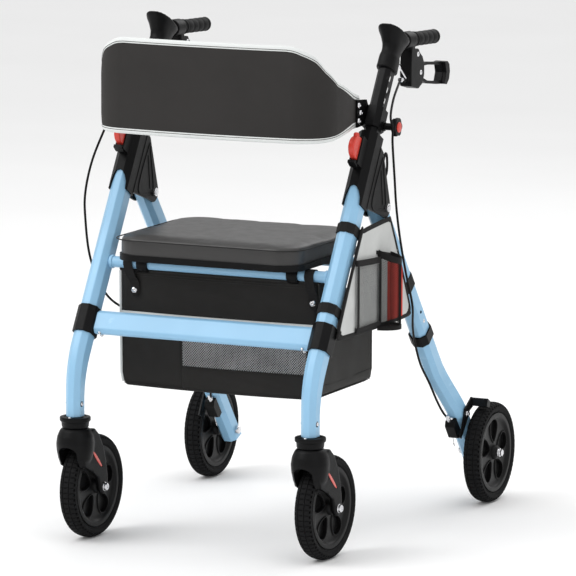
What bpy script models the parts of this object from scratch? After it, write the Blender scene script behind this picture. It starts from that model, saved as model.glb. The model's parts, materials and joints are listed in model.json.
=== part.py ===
"""Folding rollator walker: frame, fold linkage, casters, brakes, seat, backrest and bags.

Metres, +Z up. The front of the walker, with its casters, faces -Y, and +X is the side that carries
the pouch. The origin is on the floor, midway between the front and rear axles.
Fore-and-aft places are first measured back from the caster stems, and at() moves them to the origin.
"""
import math

import bmesh
import bpy
from mathutils import Matrix, Vector

GAP = 0.0003                    # between pieces that touch
SIDES = (("L", -1), ("R", 1))

# Driving dimensions
STEM_TO_ORIGIN = 0.3945         # caster stems to the origin
FRONT_TRACK = 0.500             # between the front leg centres
REAR_TRACK = 0.620              # between the rear tyre centres
WHEEL_R = 0.101                 # 8 in wheels
TYRE_HALF = 0.017
CASTER_TRAIL = 0.062
CASTER_YAW = math.radians(-3)   # the casters have run slightly to one side
REAR_AXLE_BACK = 0.727
RAKE = math.radians(31)         # front legs and handle posts, from the vertical
KNEE = (0.053, 0.424)           # a point of the raked leg line, at the lower crossbar
LEG_FOOT = 0.247
REAR_PIVOT_ALONG = 0.3177       # rear leg pivot, along the leg line from the knee
REAR_PIVOT_BEHIND = 0.0938      # and square to it
REAR_LEG_SLOPE = 0.786          # run back per unit of drop
LEG_X = FRONT_TRACK / 2
REAR_X = REAR_TRACK / 2

# Octagon sections: half width across the walker, half depth, chamfer
LEG_LOW = (0.0155, 0.0190, 0.0095)
LEG_HIGH = (0.0170, 0.0230, 0.0105)
LEG_BORE = (0.0145, 0.0187, 0.0085)
POST = (0.0138, 0.0180, 0.0080)
REAR_LEG = (0.0165, 0.0210, 0.0090)
SHELL = (0.0205, 0.0265, 0.0120)

# Along the leg line, from the knee
COLLAR_HALF = 0.028
SHELL_LOW, SHELL_HIGH = 0.275, 0.427
LEG_TOP = 0.400
POST_LOW, POST_HIGH = 0.292, 0.5845
BORE_LOW = 0.245
SLEEVE_LOW, SLEEVE_HIGH = 0.440, 0.482
KNOB_BEHIND, KNOB_ALONG = 0.0060, 0.4500
HEAD_LOW = 0.564
RIM_ALONG = 0.638

UPPER_BAR = (0.119, 0.534)      # back from the stems, height
REAR_BAR = (0.3976, 0.520)
BAR_R = 0.0110
SEAT_LINK_TIP = (0.250, 0.541)
HANDLE_BAR = ((0.385, 0.9600), (0.5640, 0.9527))
GRIP_FROM = 0.0700                              # along the bar, from its front end
LEVER_PIVOT = (0.480, 0.891)
BRAKE_PIVOT_Z = 0.188
BOLT_R = 0.005

COS, SIN = math.cos(RAKE), math.sin(RAKE)


def at(x, back, up):
    """A point given across, back from the caster stems and up, in the part's frame."""
    return Vector((x, back - STEM_TO_ORIGIN, up))


def on_leg(behind, along):
    """(back, up) of a point given square to the leg line and along it."""
    return (KNEE[0] + along * SIN + behind * COS, KNEE[1] + along * COS - behind * SIN)


def to_leg(back, up):
    """The reverse: (behind, along)."""
    y, z = back - KNEE[0], up - KNEE[1]
    return (y * COS - z * SIN, y * SIN + z * COS)


REAR_PIVOT = on_leg(REAR_PIVOT_BEHIND, REAR_PIVOT_ALONG)

# ---------------------------------------------------------------- mesh helpers


def clear_scene():
    for obj in list(bpy.data.objects):
        bpy.data.objects.remove(obj, do_unlink=True)


def material(name, colour, roughness, metallic=0.0):
    mat = bpy.data.materials.new(name)
    mat.use_nodes = True
    shader = mat.node_tree.nodes["Principled BSDF"]
    shader.inputs["Base Color"].default_value = (*colour, 1)
    shader.inputs["Roughness"].default_value = roughness
    shader.inputs["Metallic"].default_value = metallic
    return mat


def finish(name, bm, mat, place=(0, 0, 0), turn=(0, 0, 0)):
    """A named object from a bmesh, smooth except at its edges, placed and turned."""
    bmesh.ops.recalc_face_normals(bm, faces=bm.faces)
    mesh = bpy.data.meshes.new(name)
    bm.to_mesh(mesh)
    bm.free()
    mesh.shade_smooth()
    mesh.set_sharp_from_angle(angle=math.radians(32))
    mesh.materials.append(mat)
    obj = bpy.data.objects.new(name, mesh)
    obj.location, obj.rotation_euler = place, turn
    bpy.context.scene.collection.objects.link(obj)
    return obj


def tool(owner, bm, operation="DIFFERENCE"):
    """Cuts a shape from an object, or joins one to it, in the object's own space."""
    bmesh.ops.recalc_face_normals(bm, faces=bm.faces)
    mesh = bpy.data.meshes.new(owner.name + "_tool")
    bm.to_mesh(mesh)
    bm.free()
    helper = bpy.data.objects.new(owner.name + "_tool", mesh)
    helper.location, helper.rotation_euler = owner.location, owner.rotation_euler
    helper.hide_render, helper.display_type = True, "WIRE"
    bpy.context.scene.collection.objects.link(helper)
    helper.parent = owner.parent
    boolean = owner.modifiers.new("bool", "BOOLEAN")
    boolean.operation, boolean.object, boolean.solver = operation, helper, "EXACT"


def loft(rings):
    """A closed solid through rings of equally many points."""
    bm = bmesh.new()
    loops = [[bm.verts.new(p) for p in ring] for ring in rings]
    count = len(loops[0])
    for low, high in zip(loops, loops[1:]):
        for i in range(count):
            bm.faces.new((low[i], low[(i + 1) % count], high[(i + 1) % count], high[i]))
    bm.faces.new(loops[0][::-1])
    bm.faces.new(loops[-1])
    return bm


def slab(outline, low, high):
    """A (y, z) outline extruded along x."""
    return loft([[(x, y, z) for y, z in outline] for x in (low, high)])


def octagon(half_x, half_y, chamfer):
    """Eight (x, y) corners."""
    quarter = [(half_x, half_y - chamfer), (half_x - chamfer, half_y)]
    right = quarter + [(-x, y) for x, y in quarter[::-1]]
    return right + [(-x, -y) for x, y in right]


def oval(half_x, half_y, count, power=1.0):
    """An ellipse, or with a power under 1 a squarer one."""
    def bend(value):
        return math.copysign(abs(value) ** power, value)
    turns = [2 * math.pi * i / count for i in range(count)]
    return [(half_x * bend(math.cos(a)), half_y * bend(math.sin(a))) for a in turns]


def stack(levels):
    """A solid through flat (x, y) sections, each with its height and a shift in y."""
    return loft([[(x, y + shift, z) for x, y in section] for section, z, shift in levels])


def rod(start, end, radius, sides=16, end_radius=None):
    """A cylinder or cone between two points."""
    start, end = Vector(start), Vector(end)
    turn = (end - start).to_track_quat("Z", "Y")
    rings = []
    for centre, r in ((start, radius), (end, radius if end_radius is None else end_radius)):
        rings.append([centre + turn @ Vector((x, y, 0)) for x, y in oval(r, r, sides)])
    return loft(rings)


def turned(profile, count):
    """A closed (along, radius) profile spun round x. Its flats touch the radius, one of them below."""
    bm = bmesh.new()
    corner = 1 / math.cos(math.pi / count)
    loops = []
    for i in range(count):
        angle = 2 * math.pi * (i + 0.5) / count
        y, z = corner * math.sin(angle), -corner * math.cos(angle)
        loops.append([bm.verts.new((a, r * y, r * z)) for a, r in profile])
    for i in range(count):
        here, there = loops[i], loops[(i + 1) % count]
        for j in range(len(profile)):
            k = (j + 1) % len(profile)
            bm.faces.new((here[j], here[k], there[k], there[j]))
    return bm


def arc(centre, radius, first, last, steps):
    """Points round part of a circle, angles in degrees."""
    angles = [math.radians(first + (last - first) * i / steps) for i in range(steps + 1)]
    return [(centre[0] + radius * math.cos(a), centre[1] + radius * math.sin(a)) for a in angles]


def rounded_box(half_x, half_y, radius, steps=5):
    """A rectangle's outline with round corners."""
    points = []
    for sign_x, sign_y, first in ((1, 1, 0), (-1, 1, 90), (-1, -1, 180), (1, -1, 270)):
        centre = (sign_x * (half_x - radius), sign_y * (half_y - radius))
        points += arc(centre, radius, first, first + 90, steps)
    return points


def box(low, high):
    (x0, y0, z0), (x1, y1, z1) = low, high
    return loft([[(x0, y0, z), (x1, y0, z), (x1, y1, z), (x0, y1, z)] for z in (z0, z1)])


def bevel(obj, width, segments=2, angle=35):
    modifier = obj.modifiers.new("bevel", "BEVEL")
    modifier.width, modifier.segments = width, segments
    modifier.limit_method, modifier.angle_limit = "ANGLE", math.radians(angle)


def leg_place(side):
    """Place and turn of a piece built on the leg line: z along it, y square to it and back."""
    return at(side * LEG_X, *KNEE), (-RAKE, 0, 0)


# ---------------------------------------------------------------- front frame


def front_leg(name, side, mat):
    """A vertical foot, a bend and a raked length, all in the leg line's own space."""
    corner = to_leg(0, KNEE[1] - KNEE[0] / math.tan(RAKE))
    foot = to_leg(0, LEG_FOOT)
    reach = 0.050                               # of the bend, each way from the corner
    radius = reach / math.tan(RAKE / 2)
    centre = (corner[0] + radius, corner[1] + reach)
    levels = [(foot, RAKE, 0.0)]
    for i in range(7):
        angle = RAKE * (1 - i / 6)
        point = (centre[0] - radius * math.cos(angle), centre[1] - radius * math.sin(angle))
        levels.append((point, angle, i / 6))
    levels.append(((0, LEG_TOP), 0.0, 1.0))
    rings = []
    for (y, z), angle, grow in levels:
        section = octagon(*[a + (b - a) * grow for a, b in zip(LEG_LOW, LEG_HIGH)])
        rings.append([(x, y + v * math.cos(angle), z + v * math.sin(angle)) for x, v in section])
    leg = finish(name, loft(rings), mat, *leg_place(side))
    bore = octagon(*LEG_BORE)
    tool(leg, stack([(bore, BORE_LOW, 0), (bore, LEG_TOP + 0.01, 0)]))
    return leg


def lower_crossbar(mat):
    """A flattened tube between the two collars, leaning with the legs."""
    half = LEG_X - SHELL[0] - GAP
    section = octagon(0.0110, 0.0235, 0.0070)
    bar = slab([(y, z) for y, z in section], -half, half)
    return finish("lower_crossbar", bar, mat, at(0, *KNEE), (-RAKE, 0, 0))


def upper_crossbar(mat):
    half = LEG_X - LEG_HIGH[0] - GAP
    return finish("upper_crossbar", rod((-half, 0, 0), (half, 0, 0), BAR_R, 16), mat,
                  at(0, *UPPER_BAR))


def crossbar_collar(name, side, mat):
    """The moulded sleeve round the leg where the lower crossbar meets it."""
    outer, inner = octagon(*SHELL), octagon(*[v + GAP for v in LEG_HIGH[:2]], LEG_HIGH[2])
    collar = finish(name, stack([(outer, -COLLAR_HALF, 0), (outer, COLLAR_HALF, 0)]), mat,
                    *leg_place(side))
    reach = COLLAR_HALF + 0.01
    tool(collar, stack([(inner, -reach, 0), (inner, reach, 0)]))
    return collar


def hinge_housing(name, side, mat):
    """The shell that holds leg and post, with the fork of the rear leg and the button's block."""
    outer = octagon(*SHELL)
    shell = finish(name, stack([(outer, SHELL_LOW, 0), (outer, SHELL_HIGH, 0)]), mat,
                   *leg_place(side))
    pivot = (REAR_PIVOT_BEHIND, REAR_PIVOT_ALONG)
    cheek = [(0.012, 0.2800), (0.080, 0.2960)] + arc(pivot, 0.0200, -65, 45, 7)
    cheek += [(0.0265, 0.4040), (0.012, 0.4080)]
    for face in (-1, 1):
        low, high = sorted((face * 0.0170, face * 0.0215))
        tool(shell, slab(cheek, low, high), "UNION")
    tool(shell, slab([(-0.0505, 0.346), (-0.020, 0.346), (-0.020, 0.404), (-0.0470, 0.404),
                      (-0.0505, 0.400)], -0.0095, 0.0095), "UNION")
    tool(shell, slab([(-0.0600, 0.3435), (-0.045, 0.3405), (-0.045, 0.3500), (-0.0600, 0.3490)],
                     -0.0075, 0.0075), "UNION")
    leg_room = octagon(*[v + GAP for v in LEG_HIGH[:2]], LEG_HIGH[2])
    tool(shell, stack([(leg_room, SHELL_LOW - 0.01, 0), (leg_room, LEG_TOP + GAP, 0)]))
    post_room = octagon(*LEG_BORE)
    tool(shell, stack([(post_room, LEG_TOP - 0.01, 0), (post_room, SHELL_HIGH + 0.01, 0)]))
    arch = [(0.0172 * math.cos(a), SHELL_LOW + 0.0015 + 0.036 * math.sin(a))
            for a in [math.radians(180 * i / 8) for i in range(9)]]
    arch += [(-0.0172, SHELL_LOW - 0.01), (0.0172, SHELL_LOW - 0.01)]
    tool(shell, loft([[(x, y, z) for x, z in arch] for y in (-0.040, -0.008)]))
    tool(shell, box((-0.0070, -0.0600, 0.3528), (0.0070, -0.0340, 0.4002)))
    hole = (REAR_PIVOT_BEHIND, REAR_PIVOT_ALONG)
    tool(shell, rod((-0.03, *hole), (0.03, *hole), BOLT_R + GAP, 16))
    return shell


def pivot_bolt(name, side, mat):
    """The bolt of the rear leg's pivot: head, shank and nut in one turned piece."""
    head, cheek = 0.0062, 0.0215 + GAP
    profile = [(-cheek - head, 0.0001), (-cheek - head, 0.0070), (-cheek - 0.004, 0.0090),
               (-cheek, 0.0090), (-cheek, BOLT_R), (cheek, BOLT_R), (cheek, 0.0085),
               (cheek + head, 0.0085), (cheek + head, 0.0001)]
    return finish(name, turned_solid(profile, 12), mat, at(side * LEG_X, *REAR_PIVOT))


def turned_solid(profile, count):
    """A profile round x whose ends lie on the axis."""
    bm = bmesh.new()
    ends = [bm.verts.new((profile[i][0], 0, 0)) for i in (0, -1)]
    loops = []
    for i in range(count):
        angle = 2 * math.pi * i / count
        turn = (math.sin(angle), -math.cos(angle))
        loops.append([bm.verts.new((a, r * turn[0], r * turn[1])) for a, r in profile[1:-1]])
    for i in range(count):
        here, there = loops[i], loops[(i + 1) % count]
        for j in range(len(here) - 1):
            bm.faces.new((here[j], here[j + 1], there[j + 1], there[j]))
        bm.faces.new((ends[0], here[0], there[0]))
        bm.faces.new((ends[1], there[-1], here[-1]))
    return bm


def caster_socket(name, side, mat):
    """The two-step bearing cup under the front leg."""
    profile = [(LEG_FOOT - 0.0220, 0), (LEG_FOOT - 0.0220, 0.0245), (LEG_FOOT - 0.0200, 0.0262),
               (LEG_FOOT - 0.0095, 0.0268), (LEG_FOOT - 0.0085, 0.0295),
               (LEG_FOOT - 0.0010, 0.0300), (LEG_FOOT - GAP, 0.0285), (LEG_FOOT - GAP, 0)]
    bm = turned_solid(profile, 24)
    bmesh.ops.rotate(bm, verts=bm.verts, cent=(0, 0, 0), matrix=Matrix.Rotation(-math.pi / 2, 3, "Y"))
    return finish(name, bm, mat, at(side * LEG_X, 0, 0))


# ---------------------------------------------------------------- handles


def handle_post(name, side, mat):
    section = octagon(*POST)
    return finish(name, stack([(section, POST_LOW, 0), (section, POST_HIGH, 0)]), mat,
                  *leg_place(side))


def handle_head(name, side, mat):
    """The cap on the post, its flared oval collar and the bar under the grip."""
    levels = []
    for half_x, half_y, along, shift in (
            (0.0180, 0.0235, HEAD_LOW, 0), (0.0185, 0.0245, HEAD_LOW + 0.004, 0),
            (0.0185, 0.0240, 0.590, 0), (0.0164, 0.0220, 0.600, 0),
            (0.0166, 0.0240, 0.608, 0.001), (0.0186, 0.0300, 0.618, 0.001),
            (0.0226, 0.0395, 0.629, -0.003), (0.0258, 0.0460, RIM_ALONG, -0.006),
            (0.0250, 0.0450, RIM_ALONG + 0.002, -0.006), (0.0170, 0.0330, RIM_ALONG + 0.004, -0.005)):
        levels.append((oval(half_x, half_y, 16, 0.8), along, shift))
    head = finish(name, stack(levels), mat, *leg_place(side))
    (y0, z0), (y1, z1) = [to_leg(*end) for end in HANDLE_BAR]
    tool(head, rod((0, y0, z0), (0, y1, z1), 0.0105, 16), "UNION")
    room = octagon(*[v + GAP for v in POST[:2]], POST[2])
    tool(head, stack([(room, HEAD_LOW - 0.01, 0), (room, POST_HIGH + GAP, 0)]))
    return head


def grip(name, side, mat):
    """A closed rubber sleeve with two rings and finger rolls, on the rear of the bar."""
    start, end = Vector(at(0, *HANDLE_BAR[0])), Vector(at(0, *HANDLE_BAR[1]))
    along = (end - start).normalized()
    mouth = start + along * GRIP_FROM
    length = (end - mouth).length
    profile = [(0, 0.0109), (0, 0.0155), (0.005, 0.0162), (0.0065, 0.0140), (0.0095, 0.0140),
               (0.0110, 0.0160), (0.0155, 0.0160), (0.0170, 0.0142)]
    for i in range(4):
        base = 0.020 + i * 0.0200
        profile += [(base + 0.004, 0.0138), (base + 0.0115, 0.0141), (base + 0.0160, 0.0130)]
    profile += [(length + 0.001, 0.0140), (length + 0.0070, 0.0136), (length + 0.0095, 0.0108),
                (length + 0.0098, 0.0)]
    bm = turned_solid([(0.0, 0.0)] + profile[1:], 12)
    turn = Vector((1, 0, 0)).rotation_difference(along)
    obj = finish(name, bm, mat, mouth + Vector((side * LEG_X, 0, 0)))
    obj.rotation_euler = turn.to_euler()
    tool(obj, rod((-0.01, 0, 0), (length + GAP, 0, 0), 0.0105 + GAP, 16))
    return obj


def brake_housing(name, side, mat):
    """The lever's housing, hung from a ring round the bar, with a slot for the lever."""
    outline = [(0.4370, 0.945), (0.4530, 0.945), (0.4540, 0.9395), (0.4700, 0.9395),
               (0.4740, 0.932), (0.4890, 0.922), (0.4970, 0.908),
               (0.4980, 0.886), (0.4880, 0.868), (0.4700, 0.8600), (0.4340, 0.8680), (0.4330, 0.900)]
    origin = at(side * LEG_X, *LEVER_PIVOT)
    place = [(y - LEVER_PIVOT[0], z - LEVER_PIVOT[1]) for y, z in outline]
    housing = finish(name, slab(place, -0.0125, 0.0125), mat, origin)
    start, end = [Vector((0, y - LEVER_PIVOT[0], z - LEVER_PIVOT[1])) for y, z in HANDLE_BAR]
    along = (end - start).normalized()
    ring = start + along * 0.0340
    tool(housing, rod(ring, ring + along * 0.0345, 0.0172, 20), "UNION")
    tool(housing, rod(start, end, 0.0105 + GAP, 16))
    slot = [(-0.014, -0.040), (0.04, -0.040), (0.04, 0.0270), (-0.014, 0.0270)]
    tool(housing, slab(slot, -0.0052, 0.0052))
    return housing


def brake_lever(name, side, mat):
    """A loop lever: tongue, two strands and a broad finger pad, turning on its own origin."""
    outer = [(-0.010, -0.004), (-0.004, -0.010), (0.012, -0.0150), (0.045, -0.0270),
             (0.092, -0.0330), (0.126, -0.0360), (0.138, -0.0270), (0.1420, -0.0120),
             (0.139, 0.0020), (0.130, 0.0080), (0.092, 0.0110), (0.045, 0.0160),
             (0.012, 0.0165), (-0.004, 0.010)]
    inner = [(0.026, -0.0130), (0.050, -0.0215), (0.092, -0.0270), (0.117, -0.0285),
             (0.125, -0.0130), (0.118, 0.0020), (0.092, 0.0052), (0.050, 0.0095), (0.026, 0.0095)]
    lever = finish(name, slab(outer, -0.0045, 0.0045), mat, at(side * LEG_X, *LEVER_PIVOT))
    pad = [(0.1170, -0.0345), (0.128, -0.0368), (0.1390, -0.0272), (0.1430, -0.0120),
           (0.1400, 0.0025), (0.131, 0.0090), (0.1190, 0.0085), (0.1260, -0.0130)]
    tool(lever, slab(pad, -0.0125, 0.0125), "UNION")
    tool(lever, slab(inner, -0.02, 0.02))
    return lever


def height_button(name, side, mat):
    """The push button of the height lock, a half oval that slides into the housing's block."""
    low, high, back = 0.3534, 0.3996, -0.0384
    middle = (low + high) / 2
    outline = [(back, low), (back, high), (-0.0510, high)]
    for i in range(1, 10):
        angle = math.pi / 2 + math.pi * i / 10
        outline.append((-0.0510 + 0.0265 * math.cos(angle), middle + 0.0231 * math.sin(angle)))
    outline.append((-0.0510, low))
    centre = Vector((0, -0.051, middle))
    bm = slab([(y - centre.y, z - centre.z) for y, z in outline], -0.0064, 0.0064)
    place, turn = leg_place(side)
    button = finish(name, bm, mat, place + Matrix.Rotation(-RAKE, 3, "X") @ centre, turn)
    bevel(button, 0.002)
    return button


# ---------------------------------------------------------------- backrest


def backrest_bracket(name, side, mat):
    """A sleeve on the post, a boss for the clamp knob and the plate the strap is riveted to."""
    outer = octagon(0.0180, 0.0225, 0.0095)
    sleeve = finish(name, stack([(outer, SLEEVE_LOW, 0), (outer, SLEEVE_HIGH, 0)]), mat,
                    *leg_place(side))
    plate = [to_leg(*p) for p in ((0.2435, 0.8070), (0.2435, 0.8610), (0.2880, 0.8570),
                                  (0.3050, 0.8300), (0.2880, 0.8095))]
    low, high = sorted((-side * 0.0165, -side * 0.0195))
    tool(sleeve, slab(plate, low, high), "UNION")
    boss = (KNOB_BEHIND, KNOB_ALONG)
    tool(sleeve, rod((side * 0.0150, *boss), (side * 0.0210, *boss), 0.0095, 16), "UNION")
    room = octagon(*[v + GAP for v in POST[:2]], POST[2])
    tool(sleeve, stack([(room, SLEEVE_LOW - 0.01, 0), (room, SLEEVE_HIGH + 0.01, 0)]))
    return sleeve


def clamp_knob(name, side, mat):
    """A six-lobed knob on a short shank, turning on x."""
    reach = 0.0190                              # from the boss to the knob's face
    lobes = [(0.0178 + 0.0014 * math.cos(6 * a)) for a in [math.pi * i / 18 for i in range(36)]]
    rings = []
    for x, size in ((0, 0.94), (0.0018, 1), (0.0085, 1), (0.0100, 0.92)):
        rings.append([((reach + x) * side, r * size * math.cos(math.pi * i / 18),
                       r * size * math.sin(math.pi * i / 18)) for i, r in enumerate(lobes)])
    centre = at(side * (LEG_X + 0.0210 + GAP), *on_leg(KNOB_BEHIND, KNOB_ALONG))
    knob = finish(name, loft(rings), mat, centre)
    tool(knob, rod((0, 0, 0), (side * (reach + 0.002), 0, 0), 0.0070, 16), "UNION")
    return knob


def band_path():
    """Half of the backrest strap's middle line in plan, from the middle to the +X end: (x, back)."""
    corner_x, corner_y, radius = 0.1720, 0.1270, 0.0700
    front = [(corner_x * i / 4, 0.0480 + 0.0090 * (i / 4) ** 2) for i in range(5)]
    bend = arc((corner_x, corner_y), radius, -90, 0, 6)[1:]
    return front + bend + [(0.2415, 0.160), (0.2365, 0.200), (0.2268, 0.240), (0.2255, 0.286)]


def band_top(back):
    """The strap's top edge, which drops round its corners and along its arms."""
    edge = ((0.057, 0.9770), (0.063, 0.9690), (0.077, 0.9560), (0.093, 0.9340), (0.125, 0.9067),
            (0.203, 0.8807), (0.286, 0.8580))
    for (y0, z0), (y1, z1) in zip(edge, edge[1:]):
        if back < y1:
            return z0 + (z1 - z0) * max(back - y0, 0) / (y1 - y0)
    return edge[-1][1]


def backrest_band(mat):
    """The padded strap: a tall rounded section that narrows towards the two plates."""
    half = [Vector(p) for p in band_path()]
    path = [Vector((-p.x, p.y)) for p in half[:0:-1]] + half
    rings = []
    for i, point in enumerate(path):
        ahead = path[min(i + 1, len(path) - 1)] - path[max(i - 1, 0)]
        normal = Vector((ahead.y, -ahead.x)).normalized()
        narrow = min(max((point.y - 0.075) / 0.150, 0), 1)
        narrow = narrow * narrow * (3 - 2 * narrow)
        low = 0.798 + 0.011 * narrow
        high = band_top(point.y)
        thick = 0.0065 - 0.0037 * narrow
        ring = []
        for side, z in ((-1, low + thick), (-0.4, low), (0.4, low), (1, low + thick),
                        (1, high - thick), (0.4, high), (-0.4, high), (-1, high - thick)):
            flat = point + normal * side * thick
            ring.append(at(flat.x, flat.y, z))
        rings.append(ring)
    return finish("backrest_band", loft(rings), mat)


# ---------------------------------------------------------------- rear frame


def rear_leg_line(z):
    """(x, back) of the rear leg's centre at a height: straight, with a set out to the wheel."""
    back = REAR_PIVOT[0] + (REAR_PIVOT[1] - z) * REAR_LEG_SLOPE
    step = min(max((0.300 - z) / 0.120, 0), 1)
    return LEG_X + 0.020 * step * step * (3 - 2 * step), back


def rear_leg(name, side, mat):
    heights = [REAR_PIVOT[1] + 0.015, 0.320, 0.290, 0.270, 0.250, 0.230, 0.210, 0.190, 0.165, 0.084]
    slant = math.atan(REAR_LEG_SLOPE)
    rings = []
    for z in heights:
        x, back = rear_leg_line(z)
        centre = at(side * x, back, z)
        tilt = -0.25 if z == heights[-1] else 0.0
        rings.append([centre + Vector((u, v * math.cos(slant + tilt), v * math.sin(slant + tilt)))
                      for u, v in octagon(*REAR_LEG)])
    origin = at(side * LEG_X, *REAR_PIVOT)
    leg = finish(name, loft([[p - origin for p in ring] for ring in rings]), mat, origin)
    tool(leg, rod((-0.03, 0, 0), (0.03, 0, 0), BOLT_R + GAP, 16))
    axle = at(0, REAR_AXLE_BACK, WHEEL_R) - Vector((0, origin.y, origin.z))
    tool(leg, rod((-0.06, axle.y, axle.z), (0.06, axle.y, axle.z), 0.0060 + GAP, 16))
    return leg


def rear_cross_tube(mat):
    half = LEG_X - REAR_LEG[0] - GAP
    return finish("rear_cross_tube", rod((-half, 0, 0), (half, 0, 0), BAR_R - 0.0005, 16), mat,
                  at(0, *REAR_BAR))


def cable_band(name, side, mat):
    """The moulded band that holds the brake cable on the rear leg."""
    x, back = rear_leg_line(0.367)
    place = at(side * x, back, 0.367)
    turn = (math.atan(REAR_LEG_SLOPE), 0, 0)
    outer = octagon(REAR_LEG[0] + 0.0035, REAR_LEG[1] + 0.0035, REAR_LEG[2] + 0.0015)
    inner = octagon(REAR_LEG[0] + GAP, REAR_LEG[1] + GAP, REAR_LEG[2])
    band = finish(name, stack([(outer, -0.0125, 0), (outer, 0.0125, 0)]), mat, place, turn)
    tool(band, stack([(inner, -0.02, 0), (inner, 0.02, 0)]))
    return band


def brake_mount(name, side, mat):
    """The block on the rear leg's front face that the cable's adjuster screws into."""
    x, back = rear_leg_line(0.178)
    turn = (math.atan(REAR_LEG_SLOPE), 0, 0)
    front = -REAR_LEG[1] - GAP
    outline = [(front, -0.024), (front, 0.022), (front - 0.012, 0.022), (front - 0.0200, 0.015),
               (front - 0.0200, -0.017), (front - 0.013, -0.024)]
    low, high = sorted((-side * 0.0140, side * 0.0070))
    return finish(name, slab(outline, low, high), mat, at(side * x, back, 0.178), turn)


def shoe_centre():
    """(back, up) of the brake shoe's bar, just off the tyre."""
    angle = math.radians(111.5)
    radius = WHEEL_R + 0.0112
    return REAR_AXLE_BACK + radius * math.cos(angle), WHEEL_R + radius * math.sin(angle)


def brake_arm(name, side, mat):
    """The brake's lever: a flat arm beside the leg, with a shoe bar over the tyre."""
    pivot = (rear_leg_line(BRAKE_PIVOT_Z)[1], BRAKE_PIVOT_Z)
    shoe = shoe_centre()
    shoe_y, shoe_z = shoe[0] - pivot[0], shoe[1] - pivot[1]
    outline = [(-0.036, -0.043), (-0.028, -0.046), (0.007, -0.007), (0.012, 0.004),
               (shoe_y + 0.004, shoe_z - 0.006), (shoe_y + 0.008, shoe_z + 0.006),
               (shoe_y - 0.004, shoe_z + 0.013), (-0.009, 0.011), (-0.013, -0.002)]
    low, high = 0.2873 - REAR_X, 0.2907 - REAR_X
    arm = slab(outline, *sorted((side * low, side * high)))
    obj = finish(name, arm, mat, at(side * REAR_X, *pivot))
    bar = [(y + shoe_y, z + shoe_z) for y, z in
           ((-0.0080, -0.0035), (0.0055, -0.0070), (0.0095, 0.0050), (-0.0030, 0.0120))]
    tool(obj, slab(bar, *sorted((side * low, side * 0.0150))), "UNION")
    return obj


def rear_axle(name, side, mat):
    """Bolt through the leg, a spacer and the wheel, with a nut outside."""
    head, leg_in = 0.2455, 0.270 - REAR_LEG[0] - GAP
    leg_out, hub_in = 0.270 + REAR_LEG[0] + GAP, REAR_X - 0.0185 - GAP
    hub_out, end = REAR_X + 0.0185 + GAP, 0.3365
    profile = [(head, 0), (head, 0.0070), (head + 0.002, 0.0085), (leg_in, 0.0085), (leg_in, 0.0058),
               (leg_out, 0.0058), (leg_out, 0.0095), (hub_in, 0.0095), (hub_in, 0.0058),
               (hub_out, 0.0058), (hub_out, 0.0090), (end - 0.002, 0.0085), (end, 0.0060), (end, 0)]
    bm = turned_solid([(a - REAR_X, r) for a, r in profile], 16)
    if side < 0:
        bmesh.ops.scale(bm, verts=bm.verts, vec=(-1, 1, 1))
    return finish(name, bm, mat, at(side * REAR_X, REAR_AXLE_BACK, WHEEL_R))


# ---------------------------------------------------------------- wheels


def tyre(name, mat, parent=None, place=(0, 0, 0)):
    """A solid tyre with rounded shoulders and a flat tread."""
    half = [(0.0125, 0.0820), (TYRE_HALF, 0.0880), (0.0158, 0.0965), (0.0090, WHEEL_R)]
    profile = half + [(-x, r) for x, r in half[::-1]]
    obj = finish(name, turned(profile, 28), mat, place)
    obj.parent = parent
    return obj


def rim(name, mat, parent=None, place=(0, 0, 0)):
    """A moulded wheel: hub, five spokes between teardrop pockets, and the tyre's seat."""
    half = [(0.0185, 0.0062), (0.0185, 0.0140), (0.0062, 0.0200), (0.0062, 0.0620),
            (0.0135, 0.0700), (0.0122, 0.0810)]
    profile = half + [(-x, r) for x, r in half[::-1]]
    obj = finish(name, turned(profile, 24), mat, place)
    obj.parent = parent
    bulb, centre = 0.0160, 0.0450
    drop = arc((centre, 0), bulb, -120, 120, 6) + [(0.0235, 0.0015), (0.0235, -0.0015)]
    for i in range(5):
        turn = 2 * math.pi * (i + 0.25) / 5
        window = [(y * math.cos(turn) - z * math.sin(turn), y * math.sin(turn) + z * math.cos(turn))
                  for y, z in drop]
        for low, high in ((-0.02, -0.0016), (0.0016, 0.02)):
            tool(obj, slab(window, low, high))
    return obj


def caster_fork(name, mat, parent):
    """The swivelling fork: a bulbous crown, hollow over the tyre, and two arms to the axle."""
    top = LEG_FOOT - 0.0220 - GAP
    axle = (CASTER_TRAIL, WHEEL_R)
    outline = [(-0.027, top), (-0.0360, top - 0.010), (-0.0377, top - 0.026),
               (-0.033, top - 0.046), (-0.016, top - 0.068), (0.012, top - 0.092),
               (0.036, 0.110)] + arc(axle, 0.0150, 215, 370, 6)
    outline += [(0.0740, 0.134), (0.0630, 0.168), (0.0500, 0.198), (0.0360, top - 0.006),
                (0.0290, top)]
    fork = finish(name, slab(outline, -0.0290, 0.0290), mat)
    fork.parent = parent
    room = [(x, y + axle[0], z + axle[1]) for x, y, z in [(0, 0, 0)]][0]
    tool(fork, rod((-0.0203, room[1], room[2]), (0.0203, room[1], room[2]), 0.1060, 32))
    tool(fork, rod((-0.04, *axle), (0.04, *axle), 0.0040 + GAP, 12))
    bevel(fork, 0.004, 1, 50)
    return fork


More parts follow.
